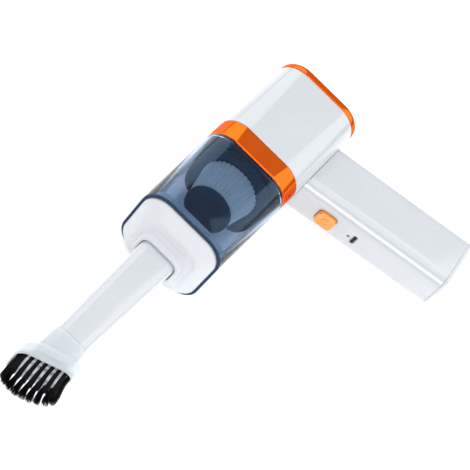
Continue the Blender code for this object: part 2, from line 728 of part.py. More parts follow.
def make_filter(finish):
    """Round flange with a neck to the bulkhead, a pleated cone and its front disc."""
    front = FILTER_BASE_X + FILTER_BASE_THICK
    seal_x = BULKHEAD_X + BULKHEAD_THICK + GAP
    seal_front = seal_x + SEAL_THICK
    seal_in, seal_out = SEAL_RADII
    neck_x = seal_front + GAP
    outline = [(seal_x, seal_in), (seal_x, seal_out), (seal_front, seal_out), (seal_front, seal_in)]
    turned("filter_seal", outline, finish["rubber"])
    profile = [
        (neck_x, AIR_HOLE_RADIUS),
        (neck_x, FILTER_NECK_RADIUS),
        (FILTER_BASE_X, FILTER_NECK_RADIUS),
        (FILTER_BASE_X, FILTER_BASE_RADIUS - DISC_EDGE),
        (FILTER_BASE_X + DISC_EDGE, FILTER_BASE_RADIUS),
        (front - DISC_EDGE, FILTER_BASE_RADIUS),
        (front, FILTER_BASE_RADIUS - DISC_EDGE),
        (front, AIR_HOLE_RADIUS),
    ]
    turned("filter_base", profile, finish["black"], sides=40)

    def pleat_ring(x, radius, inward):
        points = []
        for i in range(2 * PLEAT_COUNT):
            angle = pi * i / PLEAT_COUNT
            at = radius - inward - (PLEAT_DEPTH if i % 2 else 0.0)
            points.append(Vector((x, at * cos(angle), at * sin(angle))))
        return points

    rings = [
        pleat_ring(front + GAP, PLEAT_BASE_RADIUS, 0.0),
        pleat_ring(PLEAT_FRONT_X, PLEAT_TIP_RADIUS - PAPER_INSET, 0.0),
        pleat_ring(PLEAT_FRONT_X, PLEAT_TIP_RADIUS - PAPER_INSET, PAPER_THICK),
        pleat_ring(front + GAP, PLEAT_BASE_RADIUS, PAPER_THICK),
    ]
    loft("filter_pleats", rings, finish["paper"], closed_loop=True)
    cap = PLEAT_FRONT_X + GAP
    disc = (PLEAT_TIP_RADIUS, PLEAT_TIP_RADIUS - DISC_EDGE)
    disc_ends = ((cap, 0.0, 0.0), (cap + FILTER_CAP_THICK, 0.0, 0.0))
    rods("filter_front_cap", [(*disc, *disc_ends)], finish["black"], sides=40)


def make_bulkhead(finish):
    """Partition with the air grille, its four screws, and the fan shroud behind it."""
    half = BODY_HALF - BODY_WALL - GAP
    corner = BODY_CORNER - BODY_WALL - GAP
    holes = [circle(SHAFT_HOLE_RADIUS, HOLE_SIDES)]
    for i in range(AIR_HOLES):
        angle = 2 * pi * i / AIR_HOLES
        y, z = AIR_HOLE_SPREAD * cos(angle), AIR_HOLE_SPREAD * sin(angle)
        holes.append(circle(INTAKE_RADIUS, HOLE_SIDES, y, z))
    for y, z in screw_spots():
        holes.append(circle(SCREW_RADIUS + GAP, HOLE_SIDES, y, z))
    outline = rounded_ring(half, half, corner)
    plate("motor_bulkhead", BULKHEAD_X, BULKHEAD_THICK, outline, holes, finish["black"])

    flange_x = BULKHEAD_X - GAP
    wall = SHROUD_WALL
    profile = [
        (flange_x, AIR_HOLE_RADIUS),
        (flange_x, SHROUD_RADIUS),
        (SHROUD_REAR_X, SHROUD_RADIUS),
        (SHROUD_REAR_X, SHROUD_RADIUS - wall),
        (flange_x - wall, SHROUD_RADIUS - wall),
        (flange_x - wall, AIR_HOLE_RADIUS),
    ]
    shroud = turned("fan_shroud", profile, finish["grey"])
    hole = SCREW_RADIUS + GAP
    drilled = [
        (hole, hole, (flange_x - 2 * wall, y, z), (flange_x + wall, y, z))
        for y, z in screw_spots()
    ]
    cut(shroud, rods("shroud_holes", drilled, folder=CUTTERS))
    make_screws(screw_spots(), BULKHEAD_X + BULKHEAD_THICK + GAP, finish["steel"])


def make_screws(spots, head_x, material):
    """Pan-head screws along -X: a wide head in front of a plain shank."""
    sides = 12
    outline = [
        (head_x + SCREW_HEAD, SCREW_CROWN),
        (head_x + SCREW_HEAD / 2, SCREW_RIM),
        (head_x, SCREW_RIM),
        (head_x, SCREW_RADIUS),
        (head_x - SCREW_REACH, SCREW_RADIUS),
    ]
    for number, (y, z) in enumerate(spots, 1):
        rings = [
            [Vector((x, at_y, at_z)) for at_y, at_z in circle(radius, sides, y, z)]
            for x, radius in outline
        ]
        loft(f"bulkhead_screw_{number}", rings, material, closed_loop=False)


def make_motor(finish):
    """Motor can in its vented cradle, front bush, shaft and bladed impeller."""
    rods(
        "motor_can",
        [(MOTOR_RADIUS, MOTOR_RADIUS, (MOTOR_REAR_X, 0.0, 0.0), (MOTOR_FRONT_X, 0.0, 0.0))],
        finish["steel"],
        sides=32,
    )
    half = BODY_HALF - BODY_WALL - GAP
    holes = [circle(MOTOR_RADIUS + GAP, 32)]
    for i in range(4):
        angle = pi / 4 + i * pi / 2
        holes.append(circle(VENT_RADIUS, 12, VENT_SPREAD * cos(angle), VENT_SPREAD * sin(angle)))
    outline = rounded_ring(half, half, BODY_CORNER - BODY_WALL - GAP)
    plate("motor_mount", MOUNT_X, MOUNT_THICK, outline, holes, finish["grey"])

    bush_x = MOTOR_FRONT_X + GAP
    hole = SHAFT_RADIUS + SHAFT_EASE
    bush_front = bush_x + BUSH_LENGTH
    outline = [(bush_front, hole), (bush_front, BUSH_RADIUS), (bush_x, BUSH_RADIUS), (bush_x, hole)]
    turned("motor_bush", outline, finish["brass"], sides=24)
    shaft_tip = IMPELLER_X + SHAFT_REACH
    rods(
        "motor_shaft",
        [(SHAFT_RADIUS, SHAFT_RADIUS, (MOTOR_FRONT_X + GAP, 0.0, 0.0), (shaft_tip, 0.0, 0.0))],
        finish["steel"],
        sides=24,
    )
    hub_front = IMPELLER_X + DISC_THICK + HUB_LENGTH
    bore = SHAFT_RADIUS + GAP
    profile = [
        (IMPELLER_X, bore),
        (IMPELLER_X, IMPELLER_RADIUS),
        (IMPELLER_X + DISC_THICK, IMPELLER_RADIUS),
        (IMPELLER_X + DISC_THICK, HUB_RADIUS),
        (hub_front, HUB_RADIUS),
        (hub_front, bore),
    ]
    impeller = turned("impeller", profile, finish["grey"], sides=36)
    blades = []
    for i in range(BLADE_COUNT):
        turn = Matrix.Rotation(2 * pi * i / BLADE_COUNT, 4, "X")
        lean = Matrix.Rotation(radians(35), 4, "X")
        shift = Matrix.Translation((IMPELLER_X + DISC_THICK / 2 + BLADE_HEIGHT / 2, BLADE_MIDDLE, 0.0))
        blades.append(((BLADE_HEIGHT, BLADE_LENGTH, BLADE_THICK), turn @ shift @ lean))
    cut(impeller, boxes("impeller_blades", blades, folder=CUTTERS), "UNION")


def make_handle(finish):
    """Handle sleeve cut to the body's underside at one end and to a sloped end cap at the other."""
    frame = handle_frame()
    deep, wide, corner = HANDLE_HALF_DEEP, HANDLE_HALF_WIDE, HANDLE_CORNER
    wall = HANDLE_WALL
    base_slope = tan(HANDLE_LEAN)
    base = GAP / cos(HANDLE_LEAN)
    end = HANDLE_LENGTH - END_CAP_THICK
    inside = (deep - wall, wide - wall, corner - wall)
    rings = [
        station(base, deep, wide, corner, base_slope),
        station(end, deep, wide, corner, HANDLE_END_SLOPE),
        station(end, *inside, HANDLE_END_SLOPE),
        station(base, *inside, base_slope),
    ]
    shell = loft("handle_shell", rings, finish["white"], closed_loop=True, local=frame)
    opening = (BUTTON_HALF[0] + GAP, BUTTON_HALF[1] + GAP)
    front = -HANDLE_HALF_DEEP
    button_hole = Matrix.Translation((BUTTON_S, front, 0.0))
    usb_hole = Matrix.Translation((USB_S, front, 0.0))
    windows = [
        ((2 * opening[0], WINDOW_CUT, 2 * opening[1]), button_hole),
        ((2 * (USB_HALF[0] + GAP), WINDOW_CUT, 2 * (USB_HALF[1] + GAP)), usb_hole),
    ]
    cut(shell, boxes("handle_windows", windows, local=frame, folder=CUTTERS))
    led = [
        (
            LED_RADIUS + GAP,
            LED_RADIUS + GAP,
            (LED_S, front - WINDOW_CUT / 2, 0.0),
            (LED_S, front + WINDOW_CUT / 2, 0.0),
        )
    ]
    cut(shell, rods("led_hole", led, local=frame, folder=CUTTERS))

    seam = end + GAP
    plug = (deep - wall - GAP, wide - wall - GAP, corner - wall - GAP)
    cavity = (deep - 2 * wall, wide - 2 * wall, corner - 2 * wall)
    rings = [
        station(seam - PLUG_FLOOR, *cavity, HANDLE_END_SLOPE),
        station(seam - PLUG_DEPTH, *cavity, HANDLE_END_SLOPE),
        station(seam - PLUG_DEPTH, *plug, HANDLE_END_SLOPE),
        station(seam, *plug, HANDLE_END_SLOPE),
        station(seam, deep, wide, corner, HANDLE_END_SLOPE),
        station(HANDLE_LENGTH - END_ROUND, deep, wide, corner, HANDLE_END_SLOPE),
        station(
            HANDLE_LENGTH - END_BEVEL, deep - END_BEVEL, wide - END_BEVEL, corner, HANDLE_END_SLOPE
        ),
        station(
            HANDLE_LENGTH, deep - END_ROUND, wide - END_ROUND, corner - END_ROUND, HANDLE_END_SLOPE
        ),
    ]
    loft("handle_end_cap", rings, finish["white"], closed_loop=False, local=frame)


def front_ring_at(depth, half_s, half_wide, corner, s):
    """Rounded rectangle parallel to the handle's front face; depth is local Y."""
    ring = rounded_ring(half_s, half_wide, corner)
    return [Vector((s + along, depth, across)) for along, across in ring]


def make_controls(finish):
    """Button, switch, charge light, charging socket and the board behind the front face."""
    frame = handle_frame()
    face = -HANDLE_HALF_DEEP
    inner_face = face + HANDLE_WALL
    half_s, half_w = BUTTON_HALF
    top = face - BUTTON_PROUD
    stem = inner_face + GAP
    rings = [
        front_ring_at(
            top, half_s - BUTTON_ROUND, half_w - BUTTON_ROUND, BUTTON_CORNER - BUTTON_BEVEL, BUTTON_S
        ),
        front_ring_at(
            top + BUTTON_BEVEL, half_s - BUTTON_BEVEL, half_w - BUTTON_BEVEL, BUTTON_CORNER, BUTTON_S
        ),
        front_ring_at(top + BUTTON_ROUND, half_s, half_w, BUTTON_CORNER, BUTTON_S),
        front_ring_at(stem, half_s, half_w, BUTTON_CORNER, BUTTON_S),
        front_ring_at(stem, half_s + BUTTON_LIP, half_w + BUTTON_LIP, BUTTON_CORNER, BUTTON_S),
        front_ring_at(
            stem + BUTTON_FLANGE, half_s + BUTTON_LIP, half_w + BUTTON_LIP, BUTTON_CORNER, BUTTON_S
        ),
    ]
    loft("power_button", rings, finish["orange"], closed_loop=False, local=frame)

    board = Matrix.Translation((BOARD_S, BOARD_SIZE[1] / 2 - BOARD_FACE, 0.0))
    boxes("circuit_board", [(BOARD_SIZE, board)], finish["board"], frame)

    switch_top = stem + BUTTON_FLANGE + SWITCH_TRAVEL
    switch_base = -BOARD_FACE - GAP
    rings = [
        front_ring_at(switch_base, SWITCH_HALF, SWITCH_HALF, SWITCH_CORNER, BUTTON_S),
        front_ring_at(switch_base - SWITCH_BODY, SWITCH_HALF, SWITCH_HALF, SWITCH_CORNER, BUTTON_S),
        front_ring_at(switch_base - SWITCH_BODY, STEM_RADIUS, STEM_RADIUS, STEM_CORNER, BUTTON_S),
        front_ring_at(switch_top, STEM_RADIUS, STEM_RADIUS, STEM_CORNER, BUTTON_S),
    ]
    loft("button_switch", rings, finish["black"], closed_loop=False, local=frame)

    lens_ends = ((LED_S, -BOARD_FACE - GAP, 0.0), (LED_S, face - LENS_SUNK, 0.0))
    rods("led_lens", [(LED_RADIUS, LED_RADIUS, *lens_ends)], finish["lens"], frame)
    usb_s, usb_w = USB_HALF
    mouth = face + USB_SUNK
    floor = -BOARD_FACE - GAP
    rings = [
        front_ring_at(floor, usb_s, usb_w, USB_CORNER, USB_S),
        front_ring_at(mouth, usb_s, usb_w, USB_CORNER, USB_S),
        front_ring_at(mouth, usb_s - USB_SHELL, usb_w - USB_SHELL, USB_CORNER - USB_SHELL, USB_S),
        front_ring_at(
            floor - 2 * USB_SHELL, usb_s - USB_SHELL, usb_w - USB_SHELL, USB_CORNER - USB_SHELL, USB_S
        ),
    ]
    loft("usb_socket", rings, finish["steel"], closed_loop=False, local=frame)


def make_power(finish):
    """Two cells side by side in the handle, and the two leads to the motor."""
    frame = handle_frame()
    rear = HANDLE_HALF_DEEP - HANDLE_WALL - GAP - CELL_RADIUS
    for i, place in enumerate(("rear", "front")):
        y = rear - i * (2 * CELL_RADIUS + CELL_GAP)
        ends = ((CELL_START, y, 0.0), (CELL_START + CELL_LENGTH, y, 0.0))
        cell = [(CELL_RADIUS, CELL_RADIUS, *ends)]
        rods(f"battery_cell_{place}", cell, finish["cell"], frame, sides=20)

    start = frame @ Vector((0.0345, -0.0030, 0.0))
    end = Vector((MOTOR_REAR_X - GAP - 0.0008, 0.0060, 0.0))
    lean_in = frame @ Vector((0.0100, -0.0030, 0.0))
    rear_turn = Vector((MOTOR_REAR_X - 0.0100, 0.0080, 0.0))
    for side, colour in ((-1, "black"), (1, "red")):
        lead(f"motor_lead_{colour}", (start, lean_in, rear_turn, end), side * LEAD_SPREAD, finish)


def lead(name, control, z, finish):
    """Insulated lead along a cubic curve through four control points."""
    curve = bpy.data.curves.new(name, "CURVE")
    curve.dimensions = "3D"
    curve.bevel_depth = LEAD_RADIUS
    curve.bevel_resolution = 2
    curve.use_fill_caps = True
    steps = 14
    spline = curve.splines.new("POLY")
    spline.points.add(steps)
    first, second, third, last = control
    for i in range(steps + 1):
        t = i / steps
        u = 1 - t
        spot = u**3 * first + 3 * t * u * u * second + 3 * t * t * u * third + t**3 * last
        spline.points[i].co = (spot.x, spot.y, z, 1.0)
    curve.materials.append(finish["wire"])
    made = bpy.data.objects.new(name, curve)
    made.matrix_world = to_row()
    bpy.data.collections[PARTS].objects.link(made)


def main():
    clear_scene()
    collection(PARTS)
    collection(CUTTERS)
    finish = {
        "white": finish_material("white_gloss_plastic", (0.86, 0.88, 0.90), 0.22),
        "orange": finish_material("orange_plated_plastic", (0.80, 0.20, 0.03), 0.18, 0.4),
        "smoke": finish_material("smoke_blue_clear", (0.16, 0.21, 0.32), 0.05, 0.0, 0.45),
        "clear": finish_material("frosted_clear", (0.85, 0.90, 0.92), 0.3, 0.0, 0.35),
        "black": finish_material("black_plastic", (0.02, 0.025, 0.035), 0.4),
        "grey": finish_material("grey_plastic", (0.35, 0.36, 0.38), 0.4),
        "rubber": finish_material("black_rubber", (0.015, 0.015, 0.018), 0.6),
        "bristle": finish_material("black_bristle", (0.01, 0.01, 0.012), 0.55),
        "paper": finish_material("pleated_paper", (0.55, 0.63, 0.72), 0.8),
        "steel": finish_material("bright_steel", (0.62, 0.62, 0.64), 0.25, 1.0),
        "brass": finish_material("sintered_bronze", (0.55, 0.38, 0.18), 0.4, 1.0),
        "board": finish_material("green_board", (0.02, 0.16, 0.07), 0.4),
        "cell": finish_material("cell_wrap", (0.05, 0.18, 0.45), 0.35),
        "wire": finish_material("wire_cover", (0.45, 0.03, 0.02), 0.4),
        "lens": finish_material("milky_lens", (0.80, 0.85, 0.90), 0.2),
    }
    make_housing(finish)
    make_rear_cap(finish)
    make_front_ring(finish)
    make_cup(finish)
    make_front_cap(finish)
    make_nozzle(finish)
    make_brush(finish)
    make_filter(finish)
    make_bulkhead(finish)
    make_motor(finish)
    make_handle(finish)
    make_controls(finish)
    make_power(finish)


main()
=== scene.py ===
"""Looks of the cordless handheld vacuum: finer casings, nozzle, brush, filter and button
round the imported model, a procedural finish for every piece, a pale floor, soft light
and the camera.

Lengths are metres in the row frame. Casings are rounded rectangles swept along an
axis: a station holds (place, half width, half depth, corner radius, slant), and each
piece is worked out as whole numpy arrays.
"""

import json
from math import atan2, cos, pi, radians, sin, tan

import bmesh
import bpy
import numpy as np
from mathutils import Matrix, Vector


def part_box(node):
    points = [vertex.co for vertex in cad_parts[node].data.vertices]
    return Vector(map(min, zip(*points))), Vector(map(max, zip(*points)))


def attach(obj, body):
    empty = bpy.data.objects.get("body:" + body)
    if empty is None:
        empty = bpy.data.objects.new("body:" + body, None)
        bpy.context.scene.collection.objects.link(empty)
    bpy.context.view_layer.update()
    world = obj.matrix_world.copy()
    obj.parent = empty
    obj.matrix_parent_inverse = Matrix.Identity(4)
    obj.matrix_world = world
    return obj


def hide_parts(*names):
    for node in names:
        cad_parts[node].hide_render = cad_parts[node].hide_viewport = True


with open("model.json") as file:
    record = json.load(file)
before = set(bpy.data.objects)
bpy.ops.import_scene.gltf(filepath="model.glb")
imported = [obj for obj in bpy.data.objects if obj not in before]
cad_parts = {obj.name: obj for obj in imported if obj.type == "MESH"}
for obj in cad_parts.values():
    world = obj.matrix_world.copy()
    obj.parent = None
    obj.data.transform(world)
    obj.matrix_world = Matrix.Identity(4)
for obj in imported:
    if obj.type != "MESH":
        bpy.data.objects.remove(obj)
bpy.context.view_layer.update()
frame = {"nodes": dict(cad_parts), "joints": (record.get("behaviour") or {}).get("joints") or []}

MM = 0.001
CORNER_STEPS = 14
SOFT_STEPS = 4
SEAM = 0.10 * MM
POLE = 0.001 * MM

body_lo, body_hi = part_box("motor_housing")
AXIS = Vector((0.0, (body_lo.y + body_hi.y) / 2, (body_lo.z + body_hi.z) / 2))
HALF = (body_hi.z - body_lo.z) / 2
CORNER = 17.5 * MM
WALL = 2.0 * MM
ring_lo, ring_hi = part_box("front_ring")
cup_lo, cup_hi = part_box("dust_cup")
cap_lo, cap_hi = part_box("front_cap")
rear_lo, rear_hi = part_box("rear_cap")
grille_lo, grille_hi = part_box("exhaust_grille")
tube_lo, tube_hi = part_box("nozzle_tube")
sleeve_lo, sleeve_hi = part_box("brush_sleeve")
tuft_lo, tuft_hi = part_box("bristle_tufts")

# The button's travel points into the handle, square to its front face.
PRESS = next(j for j in frame["joints"] if j["name"] == "button_press")["axis"]
LEAN = atan2(PRESS[1], PRESS[0]) - pi
HANDLE_ROOT = Vector((body_lo.x + 30.5 * MM, body_hi.y, AXIS.z))
HANDLE_DEEP = 24.0 * MM
HANDLE_WIDE = 17.0 * MM
HANDLE_CORNER = 10.0 * MM


# ---------------------------------------------------------------- geometry

def handle_frame():
    """Local X runs down the handle from the body, local Y to its rear, local Z to its left."""
    return Matrix.Translation(HANDLE_ROOT) @ Matrix.Rotation(pi / 2 + LEAN, 4, "Z")


def body_frame():
    """Local X along the body's axis, in row X; Y and Z measured from the axis."""
    return Matrix.Translation(AXIS)


def softened(stations, reach, closed):
    """Round the corners of a polyline of stations.

    At each corner P the two sides are cut back by reach and joined by the quadratic
    curve (1-t)^2 A + 2t(1-t) P + t^2 B, where A and B are the cut-back points.
    """
    p = np.array(stations, float)
    before = np.roll(p, 1, axis=0) - p
    after = np.roll(p, -1, axis=0) - p
    length_before = np.linalg.norm(before[:, :3], axis=1) + 1e-9
    length_after = np.linalg.norm(after[:, :3], axis=1) + 1e-9
    cut_before = np.minimum(reach / length_before, 0.45)[:, None]
    cut_after = np.minimum(reach / length_after, 0.45)[:, None]
    a = p + before * cut_before
    b = p + after * cut_after
    t = np.linspace(0.0, 1.0, SOFT_STEPS + 1)[None, :, None]
    rounded = (1 - t) ** 2 * a[:, None] + 2 * t * (1 - t) * p[:, None] + t**2 * b[:, None]
    if not closed:
        rounded[0] = p[0]
        rounded[-1] = p[-1]
        middle = rounded[1:-1].reshape(-1, p.shape[1])
        return np.vstack([p[:1], middle, p[-1:]])
    return rounded.reshape(-1, p.shape[1])


def swept(stations, side_steps=1):
    """Grid of points: a rounded rectangle at every station.

    Round the section, each quarter is an arc centred on (half - radius) and the flats
    between the arcs are straight. The slant moves x by slant times y.
    """
    x, half_y, half_z, radius, slant = (column[:, None] for column in stations.T)
    angle = np.linspace(0.0, pi / 2, CORNER_STEPS + 1)
    quarter = np.repeat(np.arange(4), CORNER_STEPS + 1)
    angle = np.tile(angle, 4) + quarter * pi / 2
    side_y = np.where((quarter == 0) | (quarter == 3), 1.0, -1.0)
    side_z = np.where(quarter < 2, 1.0, -1.0)
    y = side_y * (half_y - radius) + radius * np.cos(angle)
    z = side_z * (half_z - radius) + radius * np.sin(angle)
    if side_steps > 1:
        y, z = with_side_points(y, z, side_steps)
    return np.stack([x + slant * y, y, z], axis=-1)


def with_side_points(y, z, side_steps):
    """Put side_steps - 1 even points into each of the section's four straight sides."""
    per_arc = CORNER_STEPS + 1
    share = np.linspace(0.0, 1.0, side_steps + 1)[1:-1]
    rows_y, rows_z = [], []
    for arc in range(4):
        first = arc * per_arc
        last = first + per_arc - 1
        following = (last + 1) % (4 * per_arc)
        for rows, grid in ((rows_y, y), (rows_z, z)):
            rows.append(grid[:, first:last + 1])
            start, end = grid[:, last:last + 1], grid[:, following:following + 1]
            rows.append(start + (end - start) * share)
    return np.hstack(rows_y), np.hstack(rows_z)


def grid_faces(rows, columns, closed):
    """Quads between neighbouring rows of a grid whose columns close into rings."""
    row = np.arange(rows if closed else rows - 1)[:, None]
    column = np.arange(columns)[None, :]
    next_row = (row + 1) % rows
    next_column = (column + 1) % columns
    corners = [
        row * columns + column,
        row * columns + next_column,
        next_row * columns + next_column,
        next_row * columns + column,
    ]
    return np.stack(corners, axis=-1).reshape(-1, 4).tolist()


def new_piece(name, points, faces, material, place=Matrix.Identity(4), smooth=True):
    """Mesh object at the origin, its place in its mesh, its faces turned outwards."""
    mesh = bpy.data.meshes.new(name)
    mesh.from_pydata(np.asarray(points, float).reshape(-1, 3).tolist(), [], faces)
    mesh.transform(place)
    work = bmesh.new()
    work.from_mesh(mesh)
    bmesh.ops.remove_doubles(work, verts=work.verts, dist=1e-7)
    bmesh.ops.recalc_face_normals(work, faces=work.faces)
    work.to_mesh(mesh)
    work.free()
    if smooth:
        mesh.shade_smooth()
        mesh.set_sharp_from_angle(angle=radians(32))
    mesh.materials.append(material)
    piece = bpy.data.objects.new(name, mesh)
    bpy.context.scene.collection.objects.link(piece)
    return piece


def casing(name, stations, material, place, closed=True, reach=0.35 * MM, side_steps=1):
    """Swept shell (closed ring of stations) or solid (two end faces)."""
    full = [list(s) + [0.0] * (5 - len(s)) for s in stations]
    grid = swept(softened(full, reach, closed), side_steps)
    rows, columns = grid.shape[:2]
    faces = grid_faces(rows, columns, closed)
    if not closed:
        faces.append(list(range(columns)))
        faces.append([(rows - 1) * columns + i for i in range(columns)])
    return new_piece(name, grid, faces, material, place)


def square(x, half, radius):
    return (x, half, half, radius, 0.0)


def revolved(name, profile, material, steps=96, reach=0.25 * MM):
    """Closed outline of (x, radius) turned round the body's axis."""
    flat = [(x, radius, 0.0) for x, radius in profile]
    line = softened(flat, reach, True)
    angle = np.linspace(0.0, 2 * pi, steps, endpoint=False)[None, :]
    x = np.repeat(line[:, :1], steps, axis=1)
    radius = line[:, 1:2]
    grid = np.stack([x, radius * np.cos(angle), radius * np.sin(angle)], axis=-1)
    return new_piece(name, grid, grid_faces(len(line), steps, True), material, body_frame())


def carved(piece, cutters):
    """Cut the given pieces out of a piece and keep only the result."""
    for cutter in cutters:
        cut = piece.modifiers.new("cut", "BOOLEAN")
        cut.operation = "DIFFERENCE"
        cut.object = cutter
    bpy.context.view_layer.update()
    graph = bpy.context.evaluated_depsgraph_get()
    mesh = bpy.data.meshes.new_from_object(piece.evaluated_get(graph))
    piece.modifiers.clear()
    piece.data = mesh
    mesh.shade_smooth()
    mesh.set_sharp_from_angle(angle=radians(32))
    for cutter in cutters:
        bpy.data.objects.remove(cutter, do_unlink=True)
    return piece


def finished(piece, body, slot, *nodes):
    """Tie a piece to its body and hide the nodes that it stands for; the slot is not used."""
    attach(piece, body)
    if nodes:
        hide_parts(*nodes)
    return piece


# ---------------------------------------------------------------- shader groups

def group_with(name, inputs, outputs):
    group = bpy.data.node_groups.new(name, "ShaderNodeTree")
    for label, kind, value in inputs:
        socket = group.interface.new_socket(label, in_out="INPUT", socket_type=kind)
        socket.default_value = value
    for label, kind in outputs:
        group.interface.new_socket(label, in_out="OUTPUT", socket_type=kind)
    nodes = group.nodes
    return group, nodes.new("NodeGroupInput"), nodes.new("NodeGroupOutput")


def moulding_group():
    """Moulded surface: slow mottling, a fine pebble for bump, and thin hair scratches."""
    group, given, out = group_with(
        "moulding",
        [
            ("Mottle Scale", "NodeSocketFloat", 40.0),
            ("Grain Scale", "NodeSocketFloat", 1800.0),
            ("Depth", "NodeSocketFloat", 0.08),
        ],
        [("Mottle", "NodeSocketFloat"), ("Scratch", "NodeSocketFloat"), ("Normal", "NodeSocketVector")],
    )
    nodes, links = group.nodes, group.links
    place = nodes.new("ShaderNodeTexCoord")
    mottle = nodes.new("ShaderNodeTexNoise")
    mottle.inputs["Detail"].default_value = 5.0
    grain = nodes.new("ShaderNodeTexNoise")
    grain.inputs["Detail"].default_value = 3.0
    stretch = nodes.new("ShaderNodeMapping")
    stretch.inputs["Rotation"].default_value = (0.3, 0.2, 0.9)
    stretch.inputs["Scale"].default_value = (40.0, 900.0, 900.0)
    hair = nodes.new("ShaderNodeTexNoise")
    hair.inputs["Scale"].default_value = 1.0
    hair.inputs["Detail"].default_value = 2.0
    pick = nodes.new("ShaderNodeMapRange")
    pick.inputs["From Min"].default_value = 0.66
    pick.inputs["From Max"].default_value = 0.74
    bump = nodes.new("ShaderNodeBump")
    bump.inputs["Distance"].default_value = 0.0002
    links.new(place.outputs["Object"], mottle.inputs["Vector"])
    links.new(place.outputs["Object"], grain.inputs["Vector"])
    links.new(place.outputs["Object"], stretch.inputs["Vector"])
    links.new(stretch.outputs["Vector"], hair.inputs["Vector"])
    links.new(given.outputs["Mottle Scale"], mottle.inputs["Scale"])
    links.new(given.outputs["Grain Scale"], grain.inputs["Scale"])
    links.new(given.outputs["Depth"], bump.inputs["Strength"])
    links.new(grain.outputs["Fac"], bump.inputs["Height"])
    links.new(hair.outputs["Fac"], pick.inputs["Value"])
    links.new(mottle.outputs["Fac"], out.inputs["Mottle"])
    links.new(pick.outputs["Result"], out.inputs["Scratch"])
    links.new(bump.outputs["Normal"], out.inputs["Normal"])
    return group


def ridge_group():
    """Parallel ridges across one axis, for wound wire, brushed metal and filter paper."""
    group, given, out = group_with(
        "ridges",
        [("Stretch", "NodeSocketVector", (1.0, 1.0, 1.0)), ("Depth", "NodeSocketFloat", 0.2)],
        [("Line", "NodeSocketFloat"), ("Normal", "NodeSocketVector")],
    )
    nodes, links = group.nodes, group.links
    place = nodes.new("ShaderNodeTexCoord")
    stretch = nodes.new("ShaderNodeMapping")
    line = nodes.new("ShaderNodeTexNoise")
    line.inputs["Scale"].default_value = 1.0
    line.inputs["Detail"].default_value = 4.0
    bump = nodes.new("ShaderNodeBump")
    bump.inputs["Distance"].default_value = 0.0002
    links.new(place.outputs["Object"], stretch.inputs["Vector"])
    links.new(given.outputs["Stretch"], stretch.inputs["Scale"])
    links.new(stretch.outputs["Vector"], line.inputs["Vector"])
    links.new(given.outputs["Depth"], bump.inputs["Strength"])
    links.new(line.outputs["Fac"], bump.inputs["Height"])
    links.new(line.outputs["Fac"], out.inputs["Line"])
    links.new(bump.outputs["Normal"], out.inputs["Normal"])
    return group


MOULDING = moulding_group()
RIDGES = ridge_group()


# ---------------------------------------------------------------- materials

def bare_material(name):
    material = bpy.data.materials.new(name)
    material.use_nodes = True
    return material, material.node_tree.nodes, material.node_tree.links


def place_group(nodes, group, **values):
    node = nodes.new("ShaderNodeGroup")
    node.node_tree = group
    for label, value in values.items():
        node.inputs[label.replace("_", " ")].default_value = value
    return node


def two_tone(nodes, links, mask, low, high):
    """Colour between two tints, by a mask."""
    mix = nodes.new("ShaderNodeMix")
    mix.data_type = "RGBA"
    mix.inputs["A"].default_value = (*low, 1.0)
    mix.inputs["B"].default_value = (*high, 1.0)
    links.new(mask, mix.inputs["Factor"])
    return mix.outputs["Result"]


def spread(nodes, links, mask, low, high):
    """Value between low and high, by a mask that mostly lies from 0.3 to 0.7."""
    node = nodes.new("ShaderNodeMapRange")
    node.inputs["From Min"].default_value = 0.3
    node.inputs["From Max"].default_value = 0.7
    node.inputs["To Min"].default_value = low
    node.inputs["To Max"].default_value = high
    links.new(mask, node.inputs["Value"])
    return node.outputs["Result"]


def moulded(name, low, high, rough, depth=0.06, mottle=40.0, grain=1800.0, **sockets):
    """Moulded plastic or rubber: mottled tint and gloss, pebble bump and faint hair scratches."""
    material, nodes, links = bare_material(name)
    shader = nodes["Principled BSDF"]
    skin = place_group(nodes, MOULDING, Mottle_Scale=mottle, Grain_Scale=grain, Depth=depth)
    links.new(two_tone(nodes, links, skin.outputs["Mottle"], low, high), shader.inputs["Base Color"])
    gloss = spread(nodes, links, skin.outputs["Mottle"], rough[0], rough[1])
    worn = nodes.new("ShaderNodeMath")
    worn.operation = "MULTIPLY_ADD"
    worn.inputs[1].default_value = 0.06
    links.new(skin.outputs["Scratch"], worn.inputs[0])
    links.new(gloss, worn.inputs[2])
    links.new(worn.outputs["Value"], shader.inputs["Roughness"])
    links.new(skin.outputs["Normal"], shader.inputs["Normal"])
    for label, value in sockets.items():
        shader.inputs[label.replace("_", " ")].default_value = value
    return material


def clear_skin(name, low, high, rough, cover):
    """Clear plastic: see-through where it faces the eye, and milkier towards its outline."""
    material = moulded(name, low, high, rough, depth=0.02)
    nodes, links = material.node_tree.nodes, material.node_tree.links
    outline = nodes.new("ShaderNodeLayerWeight")
    outline.inputs["Blend"].default_value = 0.35
    ramp = nodes.new("ShaderNodeMapRange")
    ramp.inputs["To Min"].default_value, ramp.inputs["To Max"].default_value = cover
    links.new(outline.outputs["Facing"], ramp.inputs["Value"])
    links.new(ramp.outputs["Result"], nodes["Principled BSDF"].inputs["Alpha"])
    return material


def ridged(name, low, high, rough, stretch, depth=0.2, **sockets):
    """Finish with fine lines along one direction."""
    material, nodes, links = bare_material(name)
    shader = nodes["Principled BSDF"]
    lines = place_group(nodes, RIDGES, Stretch=stretch, Depth=depth)
    links.new(two_tone(nodes, links, lines.outputs["Line"], low, high), shader.inputs["Base Color"])
    links.new(spread(nodes, links, lines.outputs["Line"], rough[0], rough[1]), shader.inputs["Roughness"])
    links.new(lines.outputs["Normal"], shader.inputs["Normal"])
    for label, value in sockets.items():
        shader.inputs[label.replace("_", " ")].default_value = value
    return material


